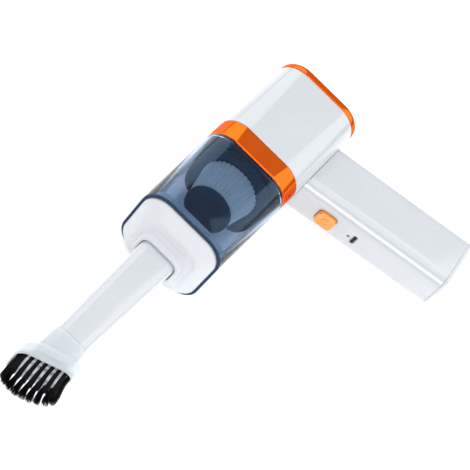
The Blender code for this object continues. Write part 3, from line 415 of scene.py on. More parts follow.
WHITE = moulded(
    "white_plastic", (0.555, 0.585, 0.625), (0.585, 0.615, 0.650), (0.20, 0.30),
    Coat_Weight=1.0, Coat_Roughness=0.04,
)
CAP_WHITE = moulded(
    "cap_white", (0.63, 0.65, 0.69), (0.66, 0.68, 0.715), (0.34, 0.46),
    Specular_IOR_Level=0.22, Coat_Weight=0.05, Coat_Roughness=0.15,
)
ORANGE = moulded(
    "orange_plate", (0.93, 0.125, 0.006), (0.98, 0.17, 0.010), (0.07, 0.12), depth=0.02,
    Metallic=0.9, Coat_Weight=0.12, Coat_Roughness=0.04, Specular_Tint=(1.0, 0.32, 0.10, 1.0),
)
BUTTON_ORANGE = moulded(
    "button_orange", (0.86, 0.27, 0.03), (0.96, 0.37, 0.06), (0.14, 0.24), depth=0.04,
    Metallic=0.5, Coat_Weight=0.8, Coat_Roughness=0.08,
)
SMOKE = moulded(
    "smoke_clear", (0.42, 0.53, 0.67), (0.45, 0.56, 0.70), (0.02, 0.05), depth=0.01,
    Transmission_Weight=1.0, IOR=1.45, Specular_IOR_Level=0.18, Specular_Tint=(0.45, 0.68, 1.0, 1.0),
)
FROSTED = clear_skin(
    "frosted_clear", (0.73, 0.79, 0.83), (0.79, 0.85, 0.88), (0.10, 0.22), (0.45, 0.90)
)
NAVY = moulded(
    "navy_plastic", (0.016, 0.036, 0.078), (0.026, 0.050, 0.098), (0.5, 0.65), depth=0.12,
    Specular_IOR_Level=0.12,
)
BLACK = moulded("black_plastic", (0.012, 0.018, 0.028), (0.022, 0.030, 0.042), (0.35, 0.5), depth=0.12)
GREY = moulded("grey_plastic", (0.24, 0.25, 0.27), (0.32, 0.33, 0.35), (0.35, 0.5), depth=0.12)
RUBBER = moulded("black_rubber", (0.008, 0.009, 0.011), (0.018, 0.019, 0.022), (0.5, 0.7), depth=0.15)
LENS = moulded("milky_lens", (0.10, 0.11, 0.12), (0.16, 0.17, 0.18), (0.15, 0.25))
CELL = moulded("cell_wrap", (0.03, 0.12, 0.34), (0.05, 0.17, 0.42), (0.25, 0.4), mottle=120.0)
RED_WIRE = moulded("red_insulation", (0.42, 0.02, 0.015), (0.52, 0.04, 0.03), (0.35, 0.5))
BLACK_WIRE = moulded("black_insulation", (0.010, 0.010, 0.012), (0.025, 0.025, 0.028), (0.35, 0.5))
BRISTLE = ridged(
    "black_bristle", (0.0015, 0.0015, 0.002), (0.005, 0.005, 0.007), (0.35, 0.6),
    (60.0, 3000.0, 3000.0), Specular_IOR_Level=0.12,
)
PAPER = ridged(
    "filter_paper", (0.80, 0.82, 0.83), (0.97, 0.98, 0.97), (0.8, 0.95), (900.0, 900.0, 900.0), depth=0.4
)
STEEL = ridged(
    "turned_steel", (0.48, 0.48, 0.50), (0.66, 0.66, 0.68), (0.2, 0.38), (2500.0, 90.0, 90.0),
    Metallic=1.0,
)
DARK_STEEL = ridged(
    "blackened_steel", (0.020, 0.022, 0.028), (0.05, 0.052, 0.06), (0.3, 0.45), (2500.0, 90.0, 90.0),
    Metallic=1.0,
)
SOCKET_STEEL = ridged(
    "socket_steel", (0.62, 0.62, 0.64), (0.80, 0.80, 0.82), (0.15, 0.25), (90.0, 2500.0, 90.0),
    Metallic=1.0,
)
BRONZE = ridged(
    "sintered_bronze", (0.42, 0.27, 0.10), (0.60, 0.42, 0.18), (0.35, 0.55), (1800.0, 1800.0, 1800.0),
    Metallic=1.0,
)
BOARD = moulded("solder_mask", (0.008, 0.10, 0.035), (0.02, 0.20, 0.07), (0.25, 0.4), mottle=400.0)


# ---------------------------------------------------------------- casings of the body

def make_housing():
    """Motor sleeve between the two orange rings."""
    rear = body_lo.x
    front = body_hi.x
    inner = HALF - WALL
    stations = [
        square(rear, HALF, CORNER),
        square(front, HALF, CORNER),
        square(front, inner, CORNER - WALL),
        square(rear, inner, CORNER - WALL),
    ]
    piece = casing("housing_sleeve", stations, WHITE, body_frame(), reach=0.6 * MM)
    finished(piece, "handle_unit", "white_body", "motor_housing")


def make_rear():
    """Orange rear cap with a rolled edge, and the grille in its opening."""
    rear, front = rear_lo.x, rear_hi.x
    inner = HALF - WALL
    opening = 21.3 * MM
    stations = [
        square(front, HALF, CORNER),
        square(rear + 3.4 * MM, HALF, CORNER),
        square(rear + 1.7 * MM, HALF - 0.4 * MM, CORNER - 0.4 * MM),
        square(rear + 0.4 * MM, HALF - 1.8 * MM, CORNER - 1.8 * MM),
        square(rear, HALF - 3.6 * MM, CORNER - 3.6 * MM),
        square(rear, opening, 8.3 * MM),
        square(rear + WALL, opening, 8.3 * MM),
        square(rear + WALL, inner - 2.0 * MM, CORNER - WALL - 2.0 * MM),
        square(rear + 4.0 * MM, inner, CORNER - WALL),
        square(front, inner, CORNER - WALL),
    ]
    piece = casing("rear_cap_shell", stations, ORANGE, body_frame(), reach=0.7 * MM)
    finished(piece, "handle_unit", "orange_trim", "rear_cap")

    depth = grille_lo.x
    stations = [
        square(depth, 21.0 * MM, 8.0 * MM),
        square(depth + 1.9 * MM, 21.0 * MM, 8.0 * MM),
        square(depth + 1.9 * MM, 22.6 * MM, 9.6 * MM),
        square(grille_hi.x, 22.6 * MM, 9.6 * MM),
    ]
    grille = casing("exhaust_louvres", stations, BLACK, body_frame(), closed=False, reach=0.5 * MM)
    slots = []
    for i in range(-3, 4):
        reach_y = 17.0 * MM - abs(i) * 0.5 * MM
        slot = [
            (depth - 2.0 * MM, reach_y, 1.1 * MM, 1.05 * MM, 0.0),
            (grille_hi.x + 2.0 * MM, reach_y, 1.1 * MM, 1.05 * MM, 0.0),
        ]
        place = body_frame() @ Matrix.Translation((0.0, 0.0, i * 5.6 * MM))
        slots.append(casing(f"slot_{i + 3}", slot, BLACK, place, closed=False))
    finished(carved(grille, slots), "handle_unit", "black_plastic", "exhaust_grille")


def make_ring():
    """Orange coupling ring with a shallow step at its front edge."""
    rear, front = ring_lo.x, ring_hi.x
    inner = HALF - WALL
    stations = [
        square(rear, HALF, CORNER),
        square(front - 0.9 * MM, HALF, CORNER),
        square(front, HALF - 0.35 * MM, CORNER - 0.35 * MM),
        square(front, inner, CORNER - WALL),
        square(rear, inner, CORNER - WALL),
    ]
    piece = casing("coupling_ring", stations, ORANGE, body_frame(), reach=0.45 * MM)
    finished(piece, "handle_unit", "orange_trim", "front_ring")


def make_cup():
    """Clear cup with its stepped tongue, and the black seal at its front."""
    wall = 1.8 * MM
    start = cup_lo.x
    step = ring_hi.x + 0.3 * MM
    front = cup_hi.x
    tongue = HALF - WALL - 0.3 * MM
    tongue_corner = CORNER - WALL - 0.3 * MM
    front_half = HALF - 1.0 * MM
    front_corner = CORNER - 0.5 * MM
    stations = [
        square(start, tongue, tongue_corner),
        square(step, tongue, tongue_corner),
        square(step, HALF, CORNER),
        square(front, front_half, front_corner),
        square(front, front_half - wall, front_corner - wall),
        square(step + 2.0 * MM, HALF - wall, CORNER - wall),
        square(start, tongue - 1.1 * MM, tongue_corner - 1.1 * MM),
    ]
    piece = casing("clear_cup", stations, SMOKE, body_frame(), reach=0.3 * MM)
    finished(piece, "cup", "smoke_clear", "dust_cup")

    seal_lo, seal_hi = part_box("cup_seal")
    half = (seal_hi.z - seal_lo.z) / 2
    stations = [
        square(seal_lo.x - 0.2 * MM, half, front_corner),
        square(seal_hi.x + 0.1 * MM, half, front_corner),
        square(seal_hi.x + 0.1 * MM, front_half - wall, front_corner - wall),
        square(seal_lo.x - 0.2 * MM, front_half - wall, front_corner - wall),
    ]
    seal = casing("seal_lip", stations, NAVY, body_frame(), reach=0.2 * MM)
    finished(seal, "cup", "black_rubber", "cup_seal")


def make_front_cap():
    """White cap: spigot in the cup, drawn-in front, dished plateau, collar and socket."""
    flange = cap_hi.x - 16.1 * MM
    plateau = cap_hi.x - 7.0 * MM
    collar = cap_hi.x
    half = 30.1 * MM
    corner = CORNER - 2.0 * MM
    spigot = HALF - 3.1 * MM
    spigot_corner = CORNER - 2.6 * MM
    spigot_in = spigot - 1.6 * MM
    top = 22.2 * MM
    stations = [
        square(cap_lo.x, spigot, spigot_corner),
        square(flange, spigot, spigot_corner),
        square(flange, half, corner),
        square(flange + 1.0 * MM, half, corner),
        square(flange + 2.6 * MM, half - 1.2 * MM, corner - 0.9 * MM),
        square(plateau - 0.8 * MM, top + 1.3 * MM, 11.2 * MM),
        square(plateau, top, 10.6 * MM),
        square(plateau + 0.2 * MM, top - 0.8 * MM, 10.0 * MM),
        square(plateau - 0.1 * MM, top - 2.2 * MM, 9.2 * MM),
        (plateau + 0.4 * MM, 17.8 * MM, 15.5 * MM, 7.8 * MM),
        (plateau + 2.0 * MM, 16.9 * MM, 13.9 * MM, 7.4 * MM),
        (collar - 1.0 * MM, 16.5 * MM, 13.3 * MM, 7.0 * MM),
        (collar, 15.6 * MM, 12.4 * MM, 6.6 * MM),
        (collar, 14.25 * MM, 10.9 * MM, 6.6 * MM),
        (collar - 0.7 * MM, 13.75 * MM, 10.4 * MM, 6.1 * MM),
        (collar - 13.7 * MM, 13.75 * MM, 10.4 * MM, 6.1 * MM),
        (collar - 13.7 * MM, 15.45 * MM, 12.1 * MM, 7.8 * MM),
        (plateau - 2.2 * MM, 15.45 * MM, 12.1 * MM, 7.8 * MM),
        square(plateau - 2.4 * MM, top - 1.8 * MM, 8.5 * MM),
        square(flange + 1.2 * MM, spigot_in - 1.2 * MM, spigot_corner - 2.6 * MM),
        square(flange - 1.5 * MM, spigot_in, spigot_corner - 1.6 * MM),
        square(cap_lo.x, spigot_in, spigot_corner - 1.6 * MM),
    ]
    piece = casing("nose_cap", stations, CAP_WHITE, body_frame(), reach=0.7 * MM)
    finished(piece, "cup", "white_cap", "front_cap")


# ---------------------------------------------------------------- nozzle and brush

MOUTH_SLANT = -0.40
TIP_SLANT = -0.30
RIM_SLANT = -0.36
NECK_SLANT = -0.10
TIP_HALF = (11.0 * MM, 9.5 * MM)


def make_nozzle():
    """Tapered duct; its section narrows from the collar to the tip."""
    wall = 1.7 * MM
    corner = 5.8 * MM
    rear = tube_lo.x
    base = rear + 17.7 * MM
    narrow = rear + 94.7 * MM
    tip = rear + 119.7 * MM
    base_y, base_z = 13.35 * MM, 10.0 * MM
    tip_y, tip_z = TIP_HALF
    stations = [
        (rear, base_y, base_z, corner, 0.0),
        (base, base_y, base_z, corner, 0.0),
        (narrow, tip_y + 0.25 * MM, tip_z + 0.1 * MM, corner, NECK_SLANT),
        (tip, tip_y, tip_z, corner, TIP_SLANT),
        (tip, tip_y - wall, tip_z - wall, corner - wall, TIP_SLANT),
        (narrow, tip_y + 0.25 * MM - wall, tip_z - wall, corner - wall, NECK_SLANT),
        (rear, base_y - wall, base_z - wall, corner - wall, 0.0),
    ]
    piece = casing("nozzle_duct", stations, WHITE, body_frame(), reach=0.4 * MM)
    finished(piece, "nozzle", "white_nozzle", "nozzle_tube")


RIM_FRONT = tube_lo.x + 128.2 * MM
TUFT_PATH = (14.8 * MM, 11.8 * MM)
TUFT_CORNER = 5.5 * MM
TUFT_COUNT = 24
TUFT_RADIUS = 1.25 * MM
TUFT_DEPTH = 4.0 * MM
TUFT_TIP = RIM_FRONT + 17.7 * MM
TUFT_FLARE = 1.07
TUFT_SWEEP = 2.4 * MM
TIP_FALL = -0.25
TIP_BOW = -20.0
TIP_RISE = 0.21
STRANDS = 64
STRAND_SIDES = 5
STRAND_RADIUS = 0.15 * MM
STRIP_HALF = 1.35 * MM


def make_sleeve():
    """Clear sleeve over the duct's tip: thin neck, flared rim, groove for the bristle strip."""
    tip_y, tip_z = TIP_HALF
    bore = (tip_y + 0.7 * MM, tip_z + 0.5 * MM, 6.1 * MM)
    neck = (tip_y + 1.9 * MM, tip_z + 1.7 * MM, 7.0 * MM)
    rim_y, rim_z, rim_corner = 17.7 * MM, 14.4 * MM, 8.2 * MM
    mouth = (10.4 * MM, 7.2 * MM, 3.0 * MM)
    start = tube_lo.x + 101.7 * MM
    flare = tube_lo.x + 117.2 * MM
    shoulder = tube_lo.x + 120.0 * MM
    slot = 1.65 * MM
    path_y, path_z = TUFT_PATH
    outer = (path_y + slot, path_z + slot, TUFT_CORNER + slot)
    inner = (path_y - slot, path_z - slot, TUFT_CORNER - slot)
    floor = RIM_FRONT - TUFT_DEPTH
    stations = [
        (start, *bore, 0.0),
        (start, *neck, 0.0),
        (flare - 2.5 * MM, *neck, RIM_SLANT),
        (flare, rim_y - 1.4 * MM, rim_z - 1.0 * MM, rim_corner, RIM_SLANT),
        (flare + 1.8 * MM, rim_y, rim_z, rim_corner, RIM_SLANT),
        (RIM_FRONT - 0.8 * MM, rim_y, rim_z, rim_corner, MOUTH_SLANT),
        (RIM_FRONT, rim_y - 0.6 * MM, rim_z - 0.6 * MM, rim_corner, MOUTH_SLANT),
        (RIM_FRONT, *outer, MOUTH_SLANT),
        (floor, *outer, MOUTH_SLANT),
        (floor, *inner, MOUTH_SLANT),
        (RIM_FRONT, *inner, MOUTH_SLANT),
        (RIM_FRONT, *mouth, MOUTH_SLANT),
        (shoulder, *mouth, TIP_SLANT),
        (shoulder, *bore, TIP_SLANT),
    ]
    piece = casing("clear_sleeve", stations, FROSTED, body_frame(), reach=0.45 * MM)
    finished(piece, "brush", "frosted_clear", "brush_sleeve")


def round_path(travel, half_y, half_z, radius):
    """Points at arc lengths on a rounded rectangle, from the middle of its +Y side."""
    dense = np.array([[0.0, half_y, half_z, radius, 0.0]])
    ring = swept(dense, 12)[0][:, 1:]
    start = int(np.argmin(np.abs(ring[:, 1]) + 10 * np.abs(ring[:, 0] - half_y)))
    ring = np.roll(ring, -start, axis=0)
    ring = np.vstack([ring, ring[:1]])
    length = np.concatenate([[0.0], np.cumsum(np.linalg.norm(np.diff(ring, axis=0), axis=1))])
    travel = np.asarray(travel) * length[-1]
    return np.stack([np.interp(travel, length, ring[:, i]) for i in range(2)], axis=-1)


def tuft_tips(spots):
    """Tip centres of tufts rooted at (y, z): flared, swept to +Y, on a domed front.

    The front's x is a base, plus a slope and a bow over the tip's y, and a slope over its z.
    """
    y = spots[:, 0] * TUFT_FLARE + TUFT_SWEEP
    z = spots[:, 1] * TUFT_FLARE
    x = TUFT_TIP + TIP_FALL * y + TIP_BOW * y**2 + TIP_RISE * z
    return np.stack([x, y, z], axis=-1)


def make_bristles():
    """Tufts as bundles of tapered filaments.

    A filament's centre runs from its root in the groove to its tip; between them it
    bows by the square of the share of its length. Roots fill a disc by the golden
    angle, and the tips spread by a seeded draw, widest in the lower row.
    """
    draw = np.random.default_rng(7)
    share = np.array([0.0, 0.25, 0.5, 0.75, 0.93, 1.0])
    spots = round_path(np.arange(TUFT_COUNT) / TUFT_COUNT, *TUFT_PATH, TUFT_CORNER)
    order = np.arange(STRANDS)
    golden = order * pi * (3 - 5**0.5)
    disc = np.sqrt((order + 0.5) / STRANDS)[:, None] * np.stack([np.cos(golden), np.sin(golden)], axis=-1)
    root = spots[:, None, :] + disc[None] * (TUFT_RADIUS - STRAND_RADIUS)
    ends = tuft_tips(spots)
    splay = TUFT_RADIUS + 0.55 * MM + 1.0 * MM * np.clip(-spots[:, 1] / TUFT_PATH[1], 0.0, 1.0)
    tip = ends[:, None, 1:] + disc[None] * splay[:, None, None]
    tip = tip + draw.normal(0.0, 0.12 * MM, tip.shape)
    root, tip = root.reshape(-1, 2), tip.reshape(-1, 2)
    length = draw.uniform(-0.9 * MM, -0.1 * MM, len(root))
    rounding = 0.8 * MM * np.tile((disc**2).sum(axis=1), TUFT_COUNT)
    x_root = RIM_FRONT - TUFT_DEPTH + 0.5 * MM + MOUTH_SLANT * root[:, 0]
    x_tip = np.repeat(ends[:, 0], STRANDS) + length - rounding
    bow = share[None, :, None] ** 2
    middle = root[:, None] + (tip - root)[:, None] * bow
    x = x_root[:, None] + (x_tip - x_root)[:, None] * share[None]
    thick = np.array([1.0, 1.0, 1.0, 0.93, 0.8, 0.33]) * STRAND_RADIUS
    angle = np.linspace(0.0, 2 * pi, STRAND_SIDES, endpoint=False)
    ring_y = middle[:, :, None, 0] + thick[None, :, None] * np.cos(angle)
    ring_z = middle[:, :, None, 1] + thick[None, :, None] * np.sin(angle)
    ring_x = np.broadcast_to(x[:, :, None], ring_y.shape)
    points = np.stack([ring_x, ring_y, ring_z], axis=-1)
    count, rows = len(root), len(share)
    one = np.array(grid_faces(rows, STRAND_SIDES, False))
    base = np.arange(count)[:, None, None] * rows * STRAND_SIDES
    quads = (one[None] + base).reshape(-1, 4).tolist()
    end = np.arange(STRAND_SIDES)[None, :] + np.arange(count)[:, None] * rows * STRAND_SIDES
    caps = end.tolist() + (end + (rows - 1) * STRAND_SIDES).tolist()
    piece = new_piece("bristle_bundles", points, quads + caps, BRISTLE, body_frame())

    path_y, path_z = TUFT_PATH
    floor = RIM_FRONT - TUFT_DEPTH + 0.3 * MM
    outer = (path_y + STRIP_HALF, path_z + STRIP_HALF, TUFT_CORNER + STRIP_HALF, MOUTH_SLANT)
    inner = (path_y - STRIP_HALF, path_z - STRIP_HALF, TUFT_CORNER - STRIP_HALF, MOUTH_SLANT)
    stations = [
        (floor, *outer),
        (floor + 1.4 * MM, *outer),
        (floor + 1.4 * MM, *inner),
        (floor, *inner),
    ]
    strip = casing("bristle_strip", stations, RUBBER, body_frame(), reach=0.2 * MM)
    finished(piece, "brush", "black_bristle", "bristle_tufts")
    finished(strip, "brush", "black_bristle")


# ---------------------------------------------------------------- filter

def make_filter():
    """Flange with its neck, the pleated cone and the front disc."""
    base_lo, base_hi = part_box("filter_base")
    cap_box_lo, cap_box_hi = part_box("filter_front_cap")
    pleat_lo, pleat_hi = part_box("filter_pleats")
    outer = (base_hi.z - base_lo.z) / 2
    front = base_hi.x
    flange = front - 3.2 * MM
    profile = [
        (base_lo.x, 12.0 * MM),
        (base_lo.x, 17.5 * MM),
        (flange, 17.5 * MM),
        (flange, outer - 0.4 * MM),
        (flange + 1.0 * MM, outer),
        (front - 1.2 * MM, outer),
        (front - 1.2 * MM, outer - 1.6 * MM),
        (front, outer - 2.2 * MM),
        (front, 23.6 * MM),
        (front - 0.5 * MM, 22.6 * MM),
        (front - 0.5 * MM, 12.0 * MM),
    ]
    finished(revolved("filter_flange", profile, NAVY), "filter", "black_plastic", "filter_base")

    pleats = 36
    round_steps = pleats * 8
    angle = np.linspace(0.0, 2 * pi, round_steps, endpoint=False)[None, :]
    along = np.linspace(0.0, 1.0, 13)[:, None]
    fold = 0.5 + 0.5 * np.cos(angle * pleats)
    fold = fold**0.7
    depth = (1.1 + 1.2 * along) * MM
    base_radius, tip_radius = (pleat_hi.z - pleat_lo.z) / 2, 16.6 * MM
    outside = base_radius + (tip_radius - base_radius) * along
    wave = outside - depth * (1 - fold)
    x = np.broadcast_to(pleat_lo.x + (pleat_hi.x - pleat_lo.x) * along, wave.shape)
    thickness = 0.45 * MM
    outer_skin = np.stack([x, wave * np.cos(angle), wave * np.sin(angle)], axis=-1)
    back = wave - thickness
    inner_skin = np.stack([x, back * np.cos(angle), back * np.sin(angle)], axis=-1)
    grid = np.concatenate([outer_skin, inner_skin[::-1]], axis=0)
    faces = grid_faces(grid.shape[0], round_steps, True)
    paper = new_piece("pleated_cone", grid, faces, PAPER, body_frame())
    finished(paper, "filter", "pleated_paper", "filter_pleats")

    radius = (cap_box_hi.z - cap_box_lo.z) / 2
    rear, front = cap_box_lo.x, cap_box_hi.x
    profile = [
        (rear, 3.0 * MM),
        (rear, radius - 0.3 * MM),
        (rear + 0.8 * MM, radius),
        (front - 0.9 * MM, radius),
        (front - 0.2 * MM, radius - 1.2 * MM),
        (front - 0.6 * MM, radius - 3.0 * MM),
        (front - 0.6 * MM, 5.0 * MM),
        (front, 4.2 * MM),
        (front, POLE),
        (front - 2.0 * MM, POLE),
    ]
    finished(revolved("filter_disc", profile, NAVY), "filter", "black_plastic", "filter_front_cap")


# ---------------------------------------------------------------- handle and controls

HANDLE_LENGTH = 113.7 * MM
HANDLE_END_SLOPE = 0.092
END_CAP = 3.2 * MM
BUTTON_S = 21.7 * MM
LED_S = 40.2 * MM
USB_S = 44.6 * MM


def dished(grid):
    """Shallow round dish in the front face about the button.

    The face sinks by depth * (1 - d^2 / r^2)^2, where d is the distance from the
    button's centre and r the dish's radius.
    """
    radius = 14.0 * MM
    depth = 0.85 * MM
    s, y, z = grid[..., 0], grid[..., 1], grid[..., 2]
    distance = np.hypot(s - BUTTON_S, z)
    sink = depth * np.clip(1 - (distance / radius) ** 2, 0.0, 1.0) ** 2
    on_face = np.clip((-y - (HANDLE_DEEP - 3.0 * MM)) / (3.0 * MM), 0.0, 1.0)
    grid[..., 1] = y + sink * on_face
    return grid


def face_prism(name, s, half_s, half_z, radius, front, back, material, reach=0.2 * MM):
    """Solid rounded rectangle square to the handle's front face, between two depths."""
    turn = Matrix.Rotation(-pi / 2, 4, "Z")
    place = handle_frame() @ Matrix.Translation((s, 0.0, 0.0)) @ turn
    stations = [(-front, half_s, half_z, radius), (-back, half_s, half_z, radius)]
    return casing(name, stations, material, place, closed=False, reach=reach)


def make_handle():
    """Leaning handle sleeve with its windows, and the end cap."""
    place = handle_frame()
    base_slope = tan(LEAN)
    end = HANDLE_LENGTH - END_CAP
    wall = 2.0 * MM
    deep, wide, corner = HANDLE_DEEP, HANDLE_WIDE, HANDLE_CORNER
    outer = (deep, wide, corner)
    inner = (deep - wall, wide - wall, corner - wall)
    base = SEAM / cos(LEAN)
    run = np.linspace(0.0, 1.0, 90)[1:-1, None]
    first = np.array([[base, *outer, base_slope]])
    last = np.array([[end, *outer, HANDLE_END_SLOPE]])
    outside = first + (last - first) * run
    stations = np.vstack(
        [
            first,
            outside,
            last,
            [[end, *inner, HANDLE_END_SLOPE]],
            [[base, *inner, base_slope]],
        ]
    )
    grid = dished(swept(softened(stations, 0.35 * MM, True), 22))
    rows, columns = grid.shape[:2]
    shell = new_piece("grip_shell", grid, grid_faces(rows, columns, True), WHITE, place)
    out, back = -deep - 4 * MM, -deep + 5 * MM
    windows = [
        face_prism("button_window", BUTTON_S, 7.3 * MM, 6.7 * MM, 3.3 * MM, out, back, WHITE),
        face_prism("usb_window", USB_S, 1.9 * MM, 4.8 * MM, 1.7 * MM, out, back, WHITE),
        face_prism("led_window", LED_S, 1.1 * MM, 1.1 * MM, 1.05 * MM, out, back, WHITE),
    ]
    finished(carved(shell, windows), "handle_unit", "white_body", "handle_shell")

    seam = end + SEAM
    plug = (deep - wall - 0.3 * MM, wide - wall - 0.3 * MM, corner - wall - 0.3 * MM)
    cavity = (deep - 2 * wall, wide - 2 * wall, corner - 2 * wall)
    top = HANDLE_LENGTH
    stations = [
        (seam - 0.2 * MM, *cavity, HANDLE_END_SLOPE),
        (seam - 5.0 * MM, *cavity, HANDLE_END_SLOPE),
        (seam - 5.0 * MM, *plug, HANDLE_END_SLOPE),
        (seam, *plug, HANDLE_END_SLOPE),
        (seam, deep, wide, corner, HANDLE_END_SLOPE),
        (top - 2.6 * MM, deep, wide, corner, HANDLE_END_SLOPE),
        (top - 1.5 * MM, deep - 0.3 * MM, wide - 0.3 * MM, corner, HANDLE_END_SLOPE),
        (top - 0.7 * MM, deep - 0.9 * MM, wide - 0.9 * MM, corner, HANDLE_END_SLOPE),
        (top - 0.2 * MM, deep - 1.7 * MM, wide - 1.7 * MM, corner - 1.0 * MM, HANDLE_END_SLOPE),
        (top, deep - 2.8 * MM, wide - 2.8 * MM, corner - 2.0 * MM, HANDLE_END_SLOPE),
    ]
    piece = casing("grip_end", stations, WHITE, place, closed=False, reach=0.5 * MM)
    finished(piece, "handle_unit", "white_body", "handle_end_cap")


def make_button():
    """Cushioned button with a raised border and a raised mark of an arc and a bar."""
    turn = Matrix.Rotation(-pi / 2, 4, "Z")
    place = handle_frame() @ Matrix.Translation((BUTTON_S, 0.0, 0.0)) @ turn
    face = HANDLE_DEEP
    half_s, half_z = 7.0 * MM, 6.4 * MM
    proud = face + 2.6 * MM
    stem = face - 2.3 * MM
    stations = [
        (stem - 1.0 * MM, half_s + 1.2 * MM, half_z + 1.2 * MM, 3.6 * MM),
        (stem, half_s + 1.2 * MM, half_z + 1.2 * MM, 3.6 * MM),
        (stem, half_s, half_z, 3.0 * MM),
        (proud - 1.3 * MM, half_s, half_z, 3.0 * MM),
        (proud - 0.3 * MM, half_s - 0.35 * MM, half_z - 0.35 * MM, 2.8 * MM),
        (proud, half_s - 1.1 * MM, half_z - 1.1 * MM, 2.3 * MM),
        (proud - 0.05 * MM, half_s - 1.5 * MM, half_z - 1.5 * MM, 2.0 * MM),
        (proud - 0.35 * MM, half_s - 1.9 * MM, half_z - 1.9 * MM, 1.7 * MM),
        (proud - 0.35 * MM, 0.4 * MM, 0.3 * MM, 0.2 * MM),
    ]
    piece = casing("push_button", stations, BUTTON_ORANGE, place, closed=False, reach=0.4 * MM)
    finished(piece, "button", "orange_button", "power_button")
    level = proud - 0.33 * MM
    sweep = np.linspace(radians(40), radians(320), 33)
    ring = 2.3 * MM
    arc = np.stack([np.full(33, level), ring * np.cos(sweep), ring * np.sin(sweep)], axis=-1)
    bar = np.stack([np.full(7, level), np.linspace(0.4, 2.7, 7) * MM, np.zeros(7)], axis=-1)
    for name, line in (("button_arc", arc), ("button_bar", bar)):
        mark = raised_line(name, line, 0.42 * MM, 0.30 * MM, place)
        finished(mark, "button", "orange_button")


def raised_line(name, centres, half_width, height, place):
    """Low rounded rib on a flat face: a half ellipse carried along a flat line."""
    along = np.gradient(centres, axis=0)
    along /= np.linalg.norm(along, axis=1)[:, None]
    across = np.cross(along, [1.0, 0.0, 0.0])
    angle = np.linspace(-0.25 * pi, 1.25 * pi, 11)[None, :, None]
    up = np.array([1.0, 0.0, 0.0])
    grid = centres[:, None] + half_width * np.cos(angle) * across[:, None] + height * np.sin(angle) * up
    rows, columns = grid.shape[:2]
    faces = grid_faces(rows, columns, False)
    faces.append(list(range(columns)))
    faces.append([(rows - 1) * columns + i for i in range(columns)])
    return new_piece(name, grid, faces, BUTTON_ORANGE, place)


def make_socket():
    """Rolled steel shell of the charging inlet, its black tongue, and the black back of its cavity."""
    place = handle_frame()
    turn = Matrix.Rotation(-pi / 2, 4, "Z")
    local = place @ Matrix.Translation((USB_S, 0.0, 0.0)) @ turn
    mouth = HANDLE_DEEP - 0.2 * MM
    floor = HANDLE_DEEP - 6.8 * MM
    stations = [
        (floor, 1.6 * MM, 4.5 * MM, 1.45 * MM),
        (mouth, 1.6 * MM, 4.5 * MM, 1.45 * MM),
        (mouth, 1.25 * MM, 4.15 * MM, 1.1 * MM),
        (floor + 0.6 * MM, 1.25 * MM, 4.15 * MM, 1.1 * MM),
    ]
    shell = casing("inlet_shell", stations, SOCKET_STEEL, local, closed=False, reach=0.1 * MM)
    finished(shell, "handle_unit", "socket_steel", "usb_socket")
    stations = [
        (floor + 0.7 * MM, 0.35 * MM, 3.3 * MM, 0.2 * MM),
        (mouth - 0.7 * MM, 0.35 * MM, 3.3 * MM, 0.2 * MM),
    ]
    tongue = casing("inlet_tongue", stations, BLACK, local, closed=False, reach=0.1 * MM)
    finished(tongue, "handle_unit", "black_plastic")
    stations = [
        (floor + 0.65 * MM, 1.2 * MM, 4.1 * MM, 1.1 * MM),
        (floor + 0.68 * MM, 1.2 * MM, 4.1 * MM, 1.1 * MM),
    ]
    back = casing("inlet_back", stations, BLACK, local, closed=False, reach=0.01 * MM)
    finished(back, "handle_unit", "black_plastic")


CARRIED_OVER = {
    "inlet_duct": BLACK,
    "inlet_flap": RUBBER,
    "filter_seal": RUBBER,
    "motor_bulkhead": NAVY,
    "fan_shroud": GREY,
    "impeller": GREY,
    "motor_mount": GREY,
    "motor_shaft": STEEL,
    "motor_can": STEEL,
    "motor_bush": BRONZE,
    "motor_lead_red": RED_WIRE,
    "motor_lead_black": BLACK_WIRE,
    "battery_cell_front": CELL,
    "battery_cell_rear": CELL,
    "circuit_board": BOARD,
    "button_switch": BLACK,
    "led_lens": LENS,
    "bulkhead_screw_1": DARK_STEEL,
    "bulkhead_screw_2": DARK_STEEL,
    "bulkhead_screw_3": DARK_STEEL,
    "bulkhead_screw_4": DARK_STEEL,
}


def finish_carried_nodes():
    for node, material in CARRIED_OVER.items():
        slots = frame["nodes"][node].data.materials
        slots.clear()
        slots.append(material)


# ---------------------------------------------------------------- stage, light, camera

def make_floor():
    material, nodes, links = bare_material("pale_floor")
    shader = nodes["Principled BSDF"]
    shader.inputs["Base Color"].default_value = (0.93, 0.93, 0.93, 1.0)
    shader.inputs["Roughness"].default_value = 0.9
    shader.inputs["Specular IOR Level"].default_value = 0.1
    shader.inputs["Emission Color"].default_value = (1.0, 1.0, 1.0, 1.0)
    shader.inputs["Emission Strength"].default_value = 0.4
    size = 6.0
    corners = [(-size, -size, 0.0), (size, -size, 0.0), (size, size, 0.0), (-size, size, 0.0)]
    floor = new_piece("floor", corners, [[0, 1, 2, 3]], material)


def area_light(name, place, aim, size, power):
    light = bpy.data.lights.new(name, "AREA")
    light.shape = "RECTANGLE"
    light.size, light.size_y = size
    light.energy = power
    lamp = bpy.data.objects.new(name, light)
    lamp.location = place
    lamp.rotation_euler = (Vector(aim) - Vector(place)).to_track_quat("-Z", "Y").to_euler()
    bpy.context.scene.collection.objects.link(lamp)


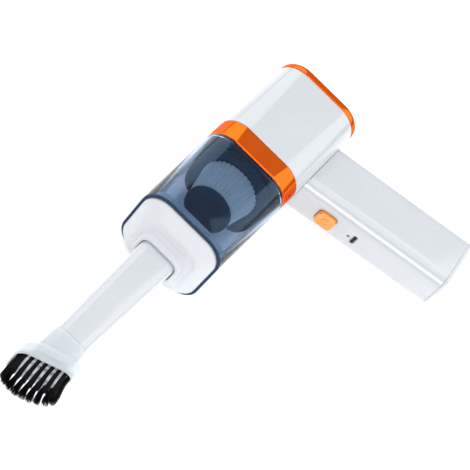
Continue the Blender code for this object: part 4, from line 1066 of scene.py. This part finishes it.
STUDIO = {
    "left_panel": ((-0.45, -0.72, 0.53), 2.0, (2.0, 2.0), 1.3),
    "right_panel": ((-0.50, 0.55, 0.67), 2.0, (2.0, 2.0), 1.3),
    "top_panel": ((-0.05, 0.07, 1.0), 2.0, (1.5, 1.5), 1.0),
    "front_panel": ((0.77, 0.20, 0.60), 1.8, (1.4, 0.75), 4.0),
}


def make_light():
    """Even surround and four soft panels: direction, distance, size and brightness of each."""
    world = bpy.data.worlds.new("studio")
    bpy.context.scene.world = world
    world.use_nodes = True
    sky = world.node_tree.nodes["Background"]
    sky.inputs["Color"].default_value = (1.0, 1.0, 1.0, 1.0)
    sky.inputs["Strength"].default_value = 0.55
    middle = Vector((0.0, 0.0, 0.03))
    for name, (direction, distance, size, brightness) in STUDIO.items():
        spot = middle + distance * Vector(direction).normalized()
        area_light(name, spot, middle, size, brightness * pi * size[0] * size[1])


# The camera looks from above the nozzle's side, rolled so that the body runs to the lower left.
CAMERA_TARGET = Vector((body_lo.x + 65.85 * MM, AXIS.y, AXIS.z))
CAMERA_DISTANCE = 1.25
CAMERA_BACK = Vector((0.6351, 0.0326, 0.7718))
CAMERA_RIGHT = Vector((-0.5554, 0.7137, 0.4270))
CAMERA_UP = Vector((-0.5368, -0.6998, 0.4713))
AIM_RIGHT = -8.43 * MM
AIM_UP = -42.4 * MM
CAMERA_LENS = 146.6


def make_camera():
    spot = CAMERA_TARGET + CAMERA_DISTANCE * CAMERA_BACK
    aim = CAMERA_TARGET + AIM_RIGHT * CAMERA_RIGHT + AIM_UP * CAMERA_UP
    back = (spot - aim).normalized()
    right = (CAMERA_RIGHT - CAMERA_RIGHT.dot(back) * back).normalized()
    up = back.cross(right)
    data = bpy.data.cameras.new("camera")
    data.lens = CAMERA_LENS
    data.sensor_width = 36.0
    camera = bpy.data.objects.new("camera", data)
    turn = Matrix((right, up, back)).transposed()
    camera.matrix_world = Matrix.Translation(spot) @ turn.to_4x4()
    bpy.context.scene.collection.objects.link(camera)
    bpy.context.scene.camera = camera


make_camera()
make_light()
make_floor()
make_housing()
make_rear()
make_ring()
make_cup()
make_front_cap()
make_nozzle()
make_sleeve()
make_bristles()
make_filter()
make_handle()
make_button()
make_socket()
finish_carried_nodes()
bpy.context.scene.view_settings.view_transform = "Standard"
